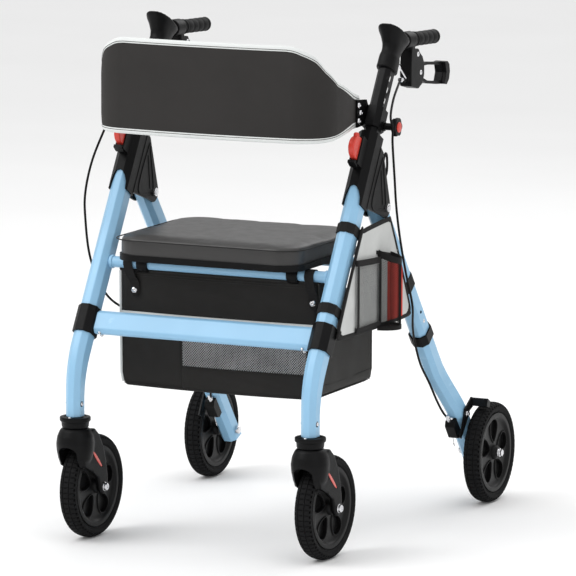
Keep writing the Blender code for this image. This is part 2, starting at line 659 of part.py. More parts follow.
def caster_axle(name, mat, parent):
    """The caster wheel's bolt, with its head, two spacers and nut."""
    hub, arm_in, arm_out = 0.0185 + GAP, 0.0203 - GAP, 0.0290 + GAP
    profile = [(-arm_out - 0.0055, 0), (-arm_out - 0.0055, 0.0065), (-arm_out, 0.0078),
               (-arm_out, 0.0039), (-arm_in - 0.0003, 0.0039), (-arm_in, 0.0085), (-hub, 0.0085),
               (-hub, 0.0039), (hub, 0.0039), (hub, 0.0085), (arm_in, 0.0085),
               (arm_in + 0.0003, 0.0039), (arm_out, 0.0039), (arm_out, 0.0078),
               (arm_out + 0.0055, 0.0065), (arm_out + 0.0055, 0)]
    obj = finish(name, turned_solid(profile, 12), mat, (0, CASTER_TRAIL, WHEEL_R))
    obj.parent = parent
    return obj


# ---------------------------------------------------------------- seat and bags


def seat_outline(inset):
    return rounded_box(0.200 - inset, 0.165 - inset, 0.050 - inset)


def seat_pad(mat):
    """A plain cushion block; its crown and seams are soft."""
    levels = [(seat_outline(0.004), 0.5605), (seat_outline(0.0), 0.5660), (seat_outline(0.0), 0.5910),
              (seat_outline(0.007), 0.5970)]
    pad = stack([(section, z - UPPER_BAR[1], 0.0880) for section, z in levels])
    return finish("seat_pad", pad, mat, at(0, *UPPER_BAR))


def seat_board(mat):
    """The base plate, with two clips that turn on the upper crossbar."""
    section = seat_outline(0.005)
    board = finish("seat_board", stack([(section, 0.0144, 0.0880), (section, 0.0262, 0.0880)]), mat,
                   at(0, *UPPER_BAR))
    for x in (-0.160, 0.160):
        tool(board, rod((x - 0.011, 0, 0), (x + 0.011, 0, 0), 0.0158, 20), "UNION")
        tool(board, rod((x - 0.02, 0, 0), (x + 0.02, 0, 0), BAR_R + GAP, 20))
    return board


def seat_link(mat):
    """Two bars from the rear cross tube to a rod under the seat, joined as one bail."""
    tip = (SEAT_LINK_TIP[0] - REAR_BAR[0], SEAT_LINK_TIP[1] - REAR_BAR[1])
    link = finish("seat_link", rod((-0.132, *tip), (0.132, *tip), 0.0032, 12), mat,
                  at(0, *REAR_BAR))
    slope = math.degrees(math.atan2(tip[1], tip[0]))
    for x in (-0.130, 0.130):
        bar = arc((0, 0), 0.0155, slope + 25, slope + 335, 14)
        bar = bar + arc(tip, 0.0055, slope - 70, slope + 70, 4)
        tool(link, slab(bar, x - 0.003, x + 0.003), "UNION")
        tool(link, rod((x - 0.01, 0, 0), (x + 0.01, 0, 0), BAR_R, 20))
    return link


def underseat_bag(mat):
    """An open-topped bag under the seat, between the frame's sides."""
    low, high = at(-0.212, 0.118, 0.296), at(0.212, 0.362, 0.515)
    bag = finish("underseat_bag", box(low, high), mat)
    wall = Vector((0.003, 0.003, 0.003))
    tool(bag, box(low + wall, high - Vector((0.003, 0.003, -0.010))))
    return bag


def side_pouch(mat):
    """A hanging panel outside the +X legs, with a flat pocket and a round one, both open on top."""
    corner = [(0.078, 0.452), (0.078, 0.436), (0.090, 0.424), (0.383, 0.424), (0.400, 0.434),
              (0.402, 0.450), (0.318, 0.612), (0.306, 0.624), (0.290, 0.626), (0.185, 0.618),
              (0.172, 0.610)]
    inner, outer, wall = 0.2722, 0.2755, 0.0025
    pouch = finish("side_pouch", slab([(y - STEM_TO_ORIGIN, z) for y, z in corner], inner, outer), mat)
    front, flat, high = 0.146, 0.2850, 0.5620        # the flat pocket's front edge, face and top
    cup_back, radius, swell = 0.2790, 0.0300, 1.17
    tool(pouch, box(at(outer - 0.002, front, 0.4290), at(flat, cup_back, high)), "UNION")
    cup = arc((outer - 0.002, cup_back - STEM_TO_ORIGIN), radius, -90, 90, 10)
    cup = [(outer - 0.002 + (x - outer + 0.002) * swell, y) for x, y in cup]
    tool(pouch, loft([[(x, y, z) for x, y in cup] for z in (0.4170, 0.5640)]), "UNION")
    tool(pouch, box(at(outer, front + wall, 0.4325), at(flat - wall, 0.2460, 0.58)))
    hollow = arc((outer - 0.002, cup_back - STEM_TO_ORIGIN), radius - wall, -85, 85, 10)
    hollow = [(max(outer, outer - 0.002 + (x - outer + 0.002) * swell), y) for x, y in hollow]
    tool(pouch, loft([[(x, y, z) for x, y in hollow] for z in (0.4195, 0.60)]))
    return pouch


# ---------------------------------------------------------------- brake cables

RIGHT_ROUTE = ((0.250, 0.4200, 0.8830), (0.262, 0.3720, 0.8770), (0.276, 0.3180, 0.8560),
               (0.2905, 0.2730, 0.8290), (0.2985, 0.2650, 0.8050), (0.2945, 0.2740, 0.7760),
               (0.291, 0.2920, 0.7100), (0.289, 0.3060, 0.6500), (0.286, 0.3300, 0.5890),
               (0.283, 0.3660, 0.5150), (0.280, 0.4060, 0.4450), (0.262, 0.4500, 0.3920),
               (0.250, 0.4880, 0.3550), (0.2465, 0.5240, 0.3060), (0.2485, 0.5640, 0.2620),
               (0.2520, 0.5930, 0.2230), (0.2570, 0.6130, 0.1960),
               (0.2640, 0.6272, 0.1792))
LEFT_ROUTE = ((0.250, 0.4200, 0.8830), (0.266, 0.3640, 0.8760), (0.280, 0.2900, 0.8480),
              (0.285, 0.2350, 0.8150), (0.285, 0.1970, 0.7820), (0.286, 0.1450, 0.7260),
              (0.286, 0.1160, 0.6700), (0.285, 0.1120, 0.6200), (0.283, 0.1300, 0.5350),
              (0.279, 0.1850, 0.4600), (0.273, 0.2600, 0.4180), (0.264, 0.3500, 0.3930),
              (0.254, 0.4380, 0.3760), (0.250, 0.4880, 0.3550), (0.2465, 0.5240, 0.3060),
              (0.2485, 0.5640, 0.2620), (0.2520, 0.5930, 0.2230), (0.2570, 0.6130, 0.1960),
               (0.2640, 0.6272, 0.1792))


def smooth_route(points, spacing):
    """Points of a Catmull-Rom curve through the route, about spacing apart."""
    ends = [points[0] * 2 - points[1]] + points + [points[-1] * 2 - points[-2]]
    fine = []
    for a, b, c, d in zip(ends, ends[1:], ends[2:], ends[3:]):
        steps = max(1, round((c - b).length / spacing))
        for i in range(steps):
            t = i / steps
            fine.append(0.5 * (2 * b + (c - a) * t + (2 * a - 5 * b + 4 * c - d) * t * t
                               + (3 * b - a - 3 * c + d) * t ** 3))
    return fine + [points[-1]]


def brake_cable(name, side, route, mat):
    """The cable's outer casing, whole, from the lever housing to the adjuster."""
    points = smooth_route([at(side * x, back, up) for x, back, up in route], 0.017)
    curve = bpy.data.curves.new(name, "CURVE")
    curve.dimensions, curve.use_fill_caps = "3D", True
    curve.bevel_depth, curve.bevel_resolution = 0.0023, 2
    spline = curve.splines.new("POLY")
    spline.points.add(len(points) - 1)
    for target, point in zip(spline.points, points):
        target.co = (*point, 1)
    curve.materials.append(mat)
    obj = bpy.data.objects.new(name, curve)
    bpy.context.scene.collection.objects.link(obj)
    return obj


# ---------------------------------------------------------------- assembly


def caster(tag, side, mats):
    """Fork, bolt, tyre and rim on an empty at the stem's axis, turned by the rest yaw."""
    stem = bpy.data.objects.new("caster_stem_" + tag, None)
    stem.location = at(side * LEG_X, 0, 0)
    stem.rotation_euler = (0, 0, CASTER_YAW)
    bpy.context.scene.collection.objects.link(stem)
    bpy.context.view_layer.update()
    hub = (0, CASTER_TRAIL, WHEEL_R)
    caster_fork("caster_fork_" + tag, mats["moulded"], stem)
    caster_axle("caster_axle_" + tag, mats["steel"], stem)
    tyre("front_tyre_" + tag, mats["tyre"], stem, hub)
    rim("front_rim_" + tag, mats["moulded"], stem, hub)


def main():
    clear_scene()
    mats = {
        "paint": material("paint", (0.33, 0.60, 0.83), 0.35),
        "moulded": material("moulded", (0.015, 0.015, 0.016), 0.45),
        "tyre": material("tyre", (0.022, 0.022, 0.024), 0.8),
        "rubber": material("rubber", (0.030, 0.030, 0.032), 0.7),
        "steel": material("steel", (0.75, 0.75, 0.77), 0.25, 1.0),
        "red": material("red", (0.70, 0.07, 0.05), 0.4),
        "fabric": material("fabric", (0.045, 0.043, 0.042), 0.9),
        "pouch": material("pouch", (0.60, 0.61, 0.60), 0.9),
        "seat": material("seat", (0.035, 0.034, 0.034), 0.55),
    }
    lower_crossbar(mats["paint"])
    upper_crossbar(mats["paint"])
    rear_cross_tube(mats["paint"])
    backrest_band(mats["fabric"])
    seat_pad(mats["seat"])
    seat_board(mats["moulded"])
    seat_link(mats["steel"])
    underseat_bag(mats["fabric"])
    side_pouch(mats["pouch"])
    builders = (
        ("front_leg", front_leg, "paint"), ("crossbar_collar", crossbar_collar, "moulded"),
        ("hinge_housing", hinge_housing, "moulded"), ("pivot_bolt", pivot_bolt, "steel"),
        ("caster_socket", caster_socket, "moulded"), ("handle_post", handle_post, "moulded"),
        ("handle_head", handle_head, "moulded"), ("grip", grip, "rubber"),
        ("brake_housing", brake_housing, "moulded"), ("brake_lever", brake_lever, "moulded"),
        ("height_button", height_button, "red"), ("clamp_knob", clamp_knob, "moulded"),
        ("backrest_bracket", backrest_bracket, "moulded"), ("rear_leg", rear_leg, "paint"),
        ("cable_band", cable_band, "moulded"), ("brake_mount", brake_mount, "moulded"),
        ("brake_arm", brake_arm, "moulded"), ("rear_axle", rear_axle, "steel"),
    )
    for tag, side in SIDES:
        for stem, build, finish_name in builders:
            build(f"{stem}_{tag}", side, mats[finish_name])
        hub = at(side * REAR_X, REAR_AXLE_BACK, WHEEL_R)
        tyre("rear_tyre_" + tag, mats["tyre"], None, hub)
        rim("rear_rim_" + tag, mats["moulded"], None, hub)
        caster(tag, side, mats)
    brake_cable("brake_cable_R", 1, RIGHT_ROUTE, mats["moulded"])
    brake_cable("brake_cable_L", -1, LEFT_ROUTE, mats["moulded"])


main()
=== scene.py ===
"""The looks of the folding rollator walker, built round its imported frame.

Metres, +Z up, front at -Y. Places across, back from the caster stems and up come from at(), as in the
frame's own design, and places square to the front leg's line and along it come from leg().
"""
import json
import math

import bmesh
import bpy
import numpy as np
from mathutils import Matrix, Vector


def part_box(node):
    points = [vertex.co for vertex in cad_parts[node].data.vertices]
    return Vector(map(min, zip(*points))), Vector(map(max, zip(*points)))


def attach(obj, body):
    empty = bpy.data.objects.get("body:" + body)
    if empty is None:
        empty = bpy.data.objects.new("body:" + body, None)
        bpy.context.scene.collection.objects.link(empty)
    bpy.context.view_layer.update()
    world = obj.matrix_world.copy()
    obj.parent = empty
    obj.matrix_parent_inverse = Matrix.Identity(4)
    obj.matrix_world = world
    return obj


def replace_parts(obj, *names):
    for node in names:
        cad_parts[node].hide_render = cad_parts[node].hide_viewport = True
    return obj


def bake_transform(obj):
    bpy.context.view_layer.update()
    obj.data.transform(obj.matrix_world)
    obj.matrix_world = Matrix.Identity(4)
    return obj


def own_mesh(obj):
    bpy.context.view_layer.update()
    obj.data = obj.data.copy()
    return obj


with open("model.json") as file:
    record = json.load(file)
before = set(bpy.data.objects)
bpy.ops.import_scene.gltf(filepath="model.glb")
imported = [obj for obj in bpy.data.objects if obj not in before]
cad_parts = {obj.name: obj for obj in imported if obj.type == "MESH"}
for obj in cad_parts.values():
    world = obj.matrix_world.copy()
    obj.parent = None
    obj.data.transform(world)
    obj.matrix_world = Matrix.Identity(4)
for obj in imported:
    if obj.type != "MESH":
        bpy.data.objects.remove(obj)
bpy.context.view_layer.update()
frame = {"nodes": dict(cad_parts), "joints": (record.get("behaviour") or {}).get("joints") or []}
joints = {joint["name"]: joint for joint in frame["joints"]}
SIDES = (("L", -1), ("R", 1))

STEM_Y = joints["caster_swivel_R"]["pos_m"][1]
LEG_X = joints["caster_swivel_R"]["pos_m"][0]
REAR_PIVOT = Vector(joints["fold"]["pos_m"])
ALONG = Vector(joints["handle_height_R"]["axis"])
BEHIND = Vector(joints["height_button_press_R"]["axis"])
KNEE = (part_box("lower_crossbar")[0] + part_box("lower_crossbar")[1]) / 2
RAKE = math.atan2(ALONG.y, ALONG.z)
REAR_SLOPE = 0.786                          # run back per unit of drop, of the rear legs
WHEEL_R = joints["rear_wheel_spin_R"]["pos_m"][2]
TRAIL = 0.062                               # caster axle behind its stem


def at(x, back, up):
    return Vector((x, STEM_Y + back, up))


def leg(x, behind, along):
    """A point given across the walker, square to the front leg's line and along it."""
    return Vector((x, KNEE.y, KNEE.z)) + BEHIND * behind + ALONG * along


# ---------------------------------------------------------------- camera, light and floor


def studio():
    """The photograph's viewing angle, soft light from above and the left, and a pale floor."""
    right = Vector((0.905697, 0.423911, 0.003433))
    up = Vector((-0.068583, 0.138527, 0.987981))
    away = Vector((0.418341, -0.895047, 0.154536))
    eye = Matrix.Translation((4.52729, -9.64809, 2.12604))
    data = bpy.data.cameras.new("camera")
    data.lens, data.sensor_width, data.clip_end = 342.4, 36.0, 60.0
    camera = bpy.data.objects.new("camera", data)
    turn = Matrix((right, up, away)).transposed().to_4x4()
    camera.matrix_world = eye @ turn
    bpy.context.scene.collection.objects.link(camera)
    bpy.context.scene.camera = camera
    for name, place, size, power in (
            ("key_light", (-2.8, -2.8, 4.0), 3.0, 105), ("fill_light", (3.6, -2.6, 2.2), 3.2, 16),
            ("rim_light", (0.6, 3.4, 3.2), 2.6, 36), ("top_light", (0.2, -0.4, 4.6), 3.4, 26)):
        light = bpy.data.lights.new(name, "AREA")
        light.energy, light.size = power, size
        lamp = bpy.data.objects.new(name, light)
        lamp.location = place
        aim = Vector((0, 0, 0.5)) - Vector(place)
        lamp.rotation_euler = aim.to_track_quat("-Z", "Y").to_euler()
        bpy.context.scene.collection.objects.link(lamp)
    world = bpy.data.worlds.new("studio_world")
    world.use_nodes = True
    tree = world.node_tree
    sky = tree.nodes["Background"]
    split = tree.nodes.new("ShaderNodeSeparateXYZ")
    fade = tree.nodes.new("ShaderNodeMapRange")
    tree.links.new(tree.nodes.new("ShaderNodeTexCoord").outputs["Generated"], split.inputs[0])
    tree.links.new(split.outputs["Z"], fade.inputs["Value"])
    fade.inputs["To Min"].default_value, fade.inputs["To Max"].default_value = 0.66, 0.98
    tree.links.new(fade.outputs["Result"], sky.inputs["Strength"])
    sky.inputs["Color"].default_value = (1, 1, 1, 1)
    bpy.context.scene.world = world
    bpy.context.scene.view_settings.view_transform = "Standard"
    bm = bmesh.new()
    bmesh.ops.create_grid(bm, x_segments=1, y_segments=1, size=14)
    mesh = bpy.data.meshes.new("floor")
    bm.to_mesh(mesh)
    floor = bpy.data.objects.new("floor", mesh)
    floor.data.materials.append(surface("floor_white", (0.93, 0.93, 0.93), 0.75, spread=0.01,
                                        patch=1.5, grain=60, depth=0.0001))
    bpy.context.scene.collection.objects.link(floor)


# ---------------------------------------------------------------- materials


def surface(name, colour, roughness, metallic=0.0, spread=0.10, patch=9.0, grain=1400.0,
            depth=0.00012, weave=0.0, thread=0.35, wear=0.0, worn=(0.5, 0.5, 0.5), coat=0.0,
            sheen=0.0, specular=0.5):
    """A procedural finish: patchy colour and roughness, a grain or weave in relief, and wear."""
    mat = bpy.data.materials.new(name)
    mat.use_nodes = True
    tree = mat.node_tree
    shader = tree.nodes["Principled BSDF"]
    shader.inputs["Metallic"].default_value = metallic
    shader.inputs["Specular IOR Level"].default_value = specular
    shader.inputs["Coat Weight"].default_value = coat
    shader.inputs["Coat Roughness"].default_value = 0.25
    shader.inputs["Sheen Weight"].default_value = sheen
    shader.inputs["Sheen Roughness"].default_value = 0.45

    def node(kind, **values):
        new = tree.nodes.new(kind)
        for key, value in values.items():
            setattr(new, key, value)
        return new

    def feed(source, target):
        """Links a socket to an input, or sets the input to a plain value."""
        if isinstance(source, (float, tuple)):
            target.default_value = source
        else:
            tree.links.new(source, target)

    place = node("ShaderNodeTexCoord").outputs["Object"]

    def noise(scale, detail):
        new = node("ShaderNodeTexNoise")
        new.inputs["Scale"].default_value = scale
        new.inputs["Detail"].default_value = detail
        feed(place, new.inputs["Vector"])
        return new.outputs["Fac"]

    def ramp(source, low, high, first, last):
        new = node("ShaderNodeValToRGB")
        new.color_ramp.elements[0].position, new.color_ramp.elements[1].position = low, high
        new.color_ramp.elements[0].color, new.color_ramp.elements[1].color = first, last
        feed(source, new.inputs["Fac"])
        return new.outputs["Color"]

    def mix(factor, first, last):
        new = node("ShaderNodeMix", data_type="RGBA")
        feed(factor, new.inputs["Factor"])
        feed(first, new.inputs["A"])
        feed(last, new.inputs["B"])
        return new.outputs["Result"]

    def maths(operation, *values):
        new = node("ShaderNodeMath", operation=operation)
        for i, value in enumerate(values):
            feed(value, new.inputs[i])
        return new.outputs[0]

    def tone(scale):
        return tuple(min(c * scale, 1.0) for c in colour) + (1,)

    paint = ramp(noise(patch, 5), 0.3, 0.7, tone(1 - spread), tone(1 + spread))
    if weave:
        waves = []
        turn = 2 * math.pi / weave
        for direction in ((turn, turn, 0), (0.45 * turn, -0.45 * turn, turn)):
            dot = node("ShaderNodeVectorMath", operation="DOT_PRODUCT")
            dot.inputs[1].default_value = direction
            feed(place, dot.inputs[0])
            waves.append(maths("SINE", dot.outputs["Value"]))
        height = maths("MULTIPLY_ADD", maths("MULTIPLY", *waves), 0.5, 0.5)
        shade = ramp(height, 0.1, 0.9, tone(1 - thread), tone(1 + thread))
        paint = mix(0.5, paint, shade)
    else:
        height = noise(grain, 3)
    if wear:
        rubbed = ramp(noise(34, 9), 0.70 - wear, 0.74 - wear * 0.5, (0, 0, 0, 1), (1, 1, 1, 1))
        paint = mix(maths("MULTIPLY", rubbed, 0.55), paint, (*worn, 1))
    feed(paint, shader.inputs["Base Color"])
    gloss = node("ShaderNodeMapRange")
    gloss.inputs["To Min"].default_value = max(roughness - 0.08, 0.02)
    gloss.inputs["To Max"].default_value = min(roughness + 0.08, 1.0)
    feed(noise(patch * 5, 4), gloss.inputs["Value"])
    feed(gloss.outputs["Result"], shader.inputs["Roughness"])
    bump = node("ShaderNodeBump")
    bump.inputs["Strength"].default_value = 0.6
    bump.inputs["Distance"].default_value = depth
    feed(height, bump.inputs["Height"])
    feed(bump.outputs["Normal"], shader.inputs["Normal"])
    return mat


BLUE = surface("powder_coat_blue", (0.272, 0.505, 0.715), 0.38, spread=0.035, patch=7, grain=700,
               depth=0.00010, coat=0.15, wear=0.02, worn=(0.36, 0.60, 0.80), specular=0.4)
PLASTIC = surface("moulded_black", (0.0045, 0.0045, 0.0048), 0.40, spread=0.18, patch=14, grain=1500,
                  depth=0.00016, wear=0.03, worn=(0.012, 0.012, 0.0125), specular=0.11)
RIM = surface("rim_black", (0.0060, 0.0060, 0.0063), 0.36, spread=0.15, patch=16, grain=1100,
              depth=0.00014, wear=0.03, worn=(0.016, 0.016, 0.016), specular=0.14)
POST = surface("anodised_black", (0.0060, 0.0060, 0.0064), 0.32, metallic=0.15, spread=0.12, patch=20,
               grain=1800, depth=0.00008, wear=0.02, worn=(0.03, 0.03, 0.03), specular=0.13)
COATED = surface("coated_steel", (0.0060, 0.0060, 0.0064), 0.34, metallic=0.2, spread=0.15, patch=20,
                 grain=900, depth=0.00012, wear=0.04, worn=(0.03, 0.03, 0.03), specular=0.15)
CHROME = surface("bright_plate", (0.70, 0.70, 0.72), 0.18, metallic=1.0, spread=0.06, patch=40,
                 grain=1200, depth=0.00005, wear=0.03, worn=(0.50, 0.49, 0.47))
TYRE = surface("tyre_rubber", (0.0080, 0.0080, 0.0084), 0.72, spread=0.20, patch=22, grain=900,
               depth=0.00022, wear=0.05, worn=(0.020, 0.0195, 0.019), specular=0.1)
RUBBER = surface("grip_rubber", (0.0065, 0.0065, 0.0068), 0.62, spread=0.15, patch=25, grain=1700,
                 depth=0.00018, sheen=0.02, specular=0.12)
RED = surface("red_plastic", (0.62, 0.050, 0.034), 0.33, spread=0.08, patch=30, grain=1200,
              depth=0.00006, coat=0.2, specular=0.35)
REFLECTOR = surface("red_reflector", (0.62, 0.075, 0.055), 0.22, spread=0.10, weave=0.0022,
                    thread=0.30, depth=0.00025, coat=0.5)
BACKREST = surface("backrest_weave", (0.034, 0.032, 0.031), 0.85, spread=0.10, patch=10,
                   weave=0.0021, thread=0.28, depth=0.00030, sheen=0.04, specular=0.1)
PIPING = surface("pale_binding", (0.70, 0.72, 0.71), 0.80, spread=0.04, patch=18, weave=0.0016,
                 thread=0.10, depth=0.00022, sheen=0.05, specular=0.2)
VINYL = surface("seat_vinyl", (0.026, 0.025, 0.0245), 0.42, spread=0.08, patch=8, grain=620,
                depth=0.00028, sheen=0.02, specular=0.50)
SEAM = surface("seat_welt", (0.014, 0.0135, 0.013), 0.55, spread=0.10, patch=20, grain=700,
               depth=0.00018, specular=0.2)
NYLON = surface("bag_nylon", (0.021, 0.020, 0.019), 0.72, spread=0.14, patch=11, weave=0.0019,
                thread=0.28, depth=0.00026, sheen=0.04, specular=0.15)
NYLON_SIDE = surface("bag_side_nylon", (0.037, 0.036, 0.034), 0.74, spread=0.12, patch=11,
                     weave=0.0019, thread=0.25, depth=0.00026, sheen=0.04, specular=0.15)
WEBBING = surface("black_webbing", (0.013, 0.0125, 0.0125), 0.80, spread=0.12, patch=25,
                  weave=0.0024, thread=0.35, depth=0.00040, sheen=0.03, specular=0.15)
FELT = surface("pouch_grey", (0.56, 0.57, 0.56), 0.88, spread=0.06, patch=26, grain=420,
               depth=0.00050, wear=0.05, worn=(0.47, 0.48, 0.47), sheen=0.05, specular=0.1)
POUCH_RED = surface("pouch_red", (0.60, 0.060, 0.042), 0.80, spread=0.08, patch=20, weave=0.0020,
                    thread=0.2, depth=0.0003, specular=0.2)
NET = surface("black_net", (0.010, 0.010, 0.010), 0.70, spread=0.15, patch=30, grain=1500,
              depth=0.00010, specular=0.15)
PALE_NET = surface("pale_net", (0.46, 0.46, 0.46), 0.75, spread=0.15, patch=18, grain=1500,
                   depth=0.00010, specular=0.2)
MARK = surface("pale_marking", (0.62, 0.62, 0.62), 0.55, spread=0.05, patch=60, grain=900,
               depth=0.00005)
# Near-black paint for painted shade: discs and rings put where recesses would hold shade.
RECESS_SHADE = surface("painted_recess_shade", (0.002, 0.002, 0.002), 0.9, spread=0.2, patch=60, grain=900,
              depth=0.00005, specular=0.05)

CAD_FINISH = {"front_leg": BLUE, "lower_crossbar": BLUE, "rear_leg": BLUE, "handle_post": POST,
              "crossbar_collar": PLASTIC, "hinge_housing": PLASTIC, "backrest_bracket": PLASTIC,
              "brake_lever": PLASTIC, "clamp_knob": PLASTIC, "cable_band": PLASTIC,
              "brake_mount": PLASTIC, "seat_board": PLASTIC, "height_button": RED,
              "brake_arm": COATED, "seat_link": COATED, "pivot_bolt": CHROME,
              "rear_axle": CHROME, "caster_axle": CHROME}
EDGE = {"front_leg": 0.0016, "rear_leg": 0.0016, "lower_crossbar": 0.0022, "handle_post": 0.0012,
        "crossbar_collar": 0.0016, "hinge_housing": 0.0012, "backrest_bracket": 0.0010,
        "brake_lever": 0.0018, "clamp_knob": 0.0010, "cable_band": 0.0010, "brake_mount": 0.0014,
        "seat_board": 0.0012, "height_button": 0.0012, "brake_arm": 0.0007, "seat_link": 0.0006,
        "pivot_bolt": 0.0006, "rear_axle": 0.0006, "caster_axle": 0.0005}


def dress_frame():
    """Gives each carried-over CAD piece its finish, and rounds its edges a little."""
    for name, obj in frame["nodes"].items():
        stem = name[:-2] if name[-2:] in ("_L", "_R") else name
        if stem not in CAD_FINISH:
            continue
        obj.data.materials.clear()
        obj.data.materials.append(CAD_FINISH[stem])
        weld = obj.modifiers.new("weld", "WELD")
        weld.merge_threshold = 0.00002
        flat = obj.modifiers.new("flat", "DECIMATE")
        flat.decimate_type, flat.angle_limit = "DISSOLVE", math.radians(1.0)
        edge = obj.modifiers.new("edge", "BEVEL")
        edge.width, edge.segments = EDGE[stem], 3
        edge.limit_method, edge.angle_limit = "ANGLE", math.radians(24)
        obj.data.shade_smooth()
        smooth = obj.modifiers.new("shade", "WEIGHTED_NORMAL")
        smooth.keep_sharp = False


# ---------------------------------------------------------------- mesh helpers


def piece(name, bm, mat, body, angle=40, recalc=True):
    """Turns a bmesh into a named piece that rides on a body and takes the given finish."""
    if recalc:
        bmesh.ops.recalc_face_normals(bm, faces=bm.faces)
    mesh = bpy.data.meshes.new(name)
    bm.to_mesh(mesh)
    bm.free()
    mesh.shade_smooth()
    mesh.set_sharp_from_angle(angle=math.radians(angle))
    mesh.materials.append(mat)
    obj = bpy.data.objects.new(name, mesh)
    bpy.context.scene.collection.objects.link(obj)
    if body:
        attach(obj, body)
    return obj


def freeze(obj):
    """Applies all of a piece's modifiers."""
    graph = bpy.context.evaluated_depsgraph_get()
    mesh = bpy.data.meshes.new_from_object(obj.evaluated_get(graph))
    obj.modifiers.clear()
    obj.data = mesh


def rounded(obj, width, segments=3):
    edge = obj.modifiers.new("edge", "BEVEL")
    edge.width, edge.segments = width, segments
    edge.limit_method, edge.angle_limit = "ANGLE", math.radians(30)


def fine(obj):
    more = obj.modifiers.new("fine", "SUBSURF")
    more.levels = more.render_levels = 1


def moulding(obj, voxel, rounds):
    """Melts overlapping solids into one moulded body with soft transitions."""
    remesh = obj.modifiers.new("skin", "REMESH")
    remesh.mode, remesh.voxel_size = "VOXEL", voxel
    soft = obj.modifiers.new("soft", "SMOOTH")
    soft.factor, soft.iterations = 0.6, rounds
    freeze(obj)
    obj.data.shade_smooth()


def carve(obj, bm):
    """Cuts a shape out of a piece, for good."""
    bmesh.ops.recalc_face_normals(bm, faces=bm.faces)
    mesh = bpy.data.meshes.new("cutter")
    bm.to_mesh(mesh)
    bm.free()
    cutter = bpy.data.objects.new("cutter", mesh)
    bpy.context.scene.collection.objects.link(cutter)
    cut = obj.modifiers.new("cut", "BOOLEAN")
    cut.operation, cut.object, cut.solver = "DIFFERENCE", cutter, "EXACT"
    bpy.context.view_layer.update()
    freeze(obj)
    bpy.data.objects.remove(cutter)


def loft(rings, closed=False, caps=True):
    """A skin through rings of equally many points; closed joins the last ring to the first."""
    bm = bmesh.new()
    loops = [[bm.verts.new(p) for p in ring] for ring in rings]
    count = len(loops[0])
    pairs = list(zip(loops, loops[1:])) + ([(loops[-1], loops[0])] if closed else [])
    for low, high in pairs:
        for i in range(count):
            bm.faces.new((low[i], low[(i + 1) % count], high[(i + 1) % count], high[i]))
    if caps and not closed:
        bm.faces.new(loops[0][::-1])
        bm.faces.new(loops[-1])
    return bm


def join(*parts):
    """Several bmeshes as one."""
    whole = bmesh.new()
    for part in parts:
        mesh = bpy.data.meshes.new("part")
        part.to_mesh(mesh)
        part.free()
        whole.from_mesh(mesh)
        bpy.data.meshes.remove(mesh)
    return whole


def moved(bm, matrix):
    bmesh.ops.transform(bm, matrix=matrix, verts=bm.verts)
    return bm


def slab(outline, low, high):
    """A (y, z) outline extruded along x."""
    return loft([[(x, y, z) for y, z in outline] for x in (low, high)])


def on_leg(bm, side):
    """Moves a bmesh built on the front leg's line (y square to it, z along it) into place."""
    turn = Matrix.Rotation(-RAKE, 4, "X")
    return moved(bm, Matrix.Translation((side * LEG_X, KNEE.y, KNEE.z)) @ turn)


def arc(centre, radius, first, last, steps):
    angles = [math.radians(first + (last - first) * i / steps) for i in range(steps + 1)]
    return [(centre[0] + radius * math.cos(a), centre[1] + radius * math.sin(a)) for a in angles]


def circle(radius, count):
    return arc((0, 0), radius, 0, 360 - 360 / count, count - 1)


def frames_along(path, up=Vector((0, 0, 1)), closed=False):
    """(point, side, top) at each point of a path, for sweeping a section along it."""
    found = []
    for i, point in enumerate(path):
        after = path[(i + 1) % len(path)] if closed else path[min(i + 1, len(path) - 1)]
        before = path[i - 1] if closed else path[max(i - 1, 0)]
        ahead = (after - before).normalized()
        side = ahead.cross(up)
        side = side.normalized() if side.length > 1e-4 else Vector((1, 0, 0))
        found.append((point, side, side.cross(ahead)))
    return found


def sweep(path, section, up=Vector((0, 0, 1)), closed=False):
    """A (sideways, upward) section carried along a path."""
    rings = [[p + s * a + t * b for a, b in section] for p, s, t in frames_along(path, up, closed)]
    return loft(rings, closed)


def tube(path, radius, count=12, closed=False, up=Vector((0.13, 0.21, 0.97))):
    return sweep([Vector(p) for p in path], circle(radius, count), up.normalized(), closed)


def smooth_path(points, steps, closed=False):
    """Points of a Catmull-Rom curve through the given ones."""
    points = [Vector(p) for p in points]
    if closed:
        ends = [points[-1]] + points + points[:2]
    else:
        ends = [points[0] * 2 - points[1]] + points + [points[-1] * 2 - points[-2]]
    fine_points = []
    for a, b, c, d in zip(ends, ends[1:], ends[2:], ends[3:]):
        for i in range(steps):
            t = i / steps
            fine_points.append(0.5 * (2 * b + (c - a) * t + (2 * a - 5 * b + 4 * c - d) * t * t
                                      + (3 * b - a - 3 * c + d) * t ** 3))
    return fine_points if closed else fine_points + [points[-1]]


def turned(profile, count, closed=False, axis="X"):
    """An (along, radius) profile spun round x or z. Its ends lie on the axis unless it is closed."""
    rings = []
    for i in range(count):
        a = 2 * math.pi * i / count
        if axis == "X":
            rings.append([(u, r * math.sin(a), -r * math.cos(a)) for u, r in profile])
        else:
            rings.append([(r * math.cos(a), r * math.sin(a), u) for u, r in profile])
    bm = bmesh.new()
    loops = [[bm.verts.new(p) for p in ring] for ring in rings]
    size = len(profile)
    for i in range(count):
        here, there = loops[i], loops[(i + 1) % count]
        for j in range(size if closed else size - 1):
            k = (j + 1) % size
            bm.faces.new((here[j], here[k], there[k], there[j]))
    if not closed:
        bmesh.ops.remove_doubles(bm, verts=bm.verts, dist=1e-6)
        bmesh.ops.dissolve_degenerate(bm, edges=bm.edges, dist=1e-7)
    return bm


def aimed(bm, place, direction):
    """Points a bmesh built along +X in a direction and moves it into place."""
    turn = Vector((1, 0, 0)).rotation_difference(Vector(direction).normalized())
    return moved(bm, Matrix.Translation(place) @ turn.to_matrix().to_4x4())


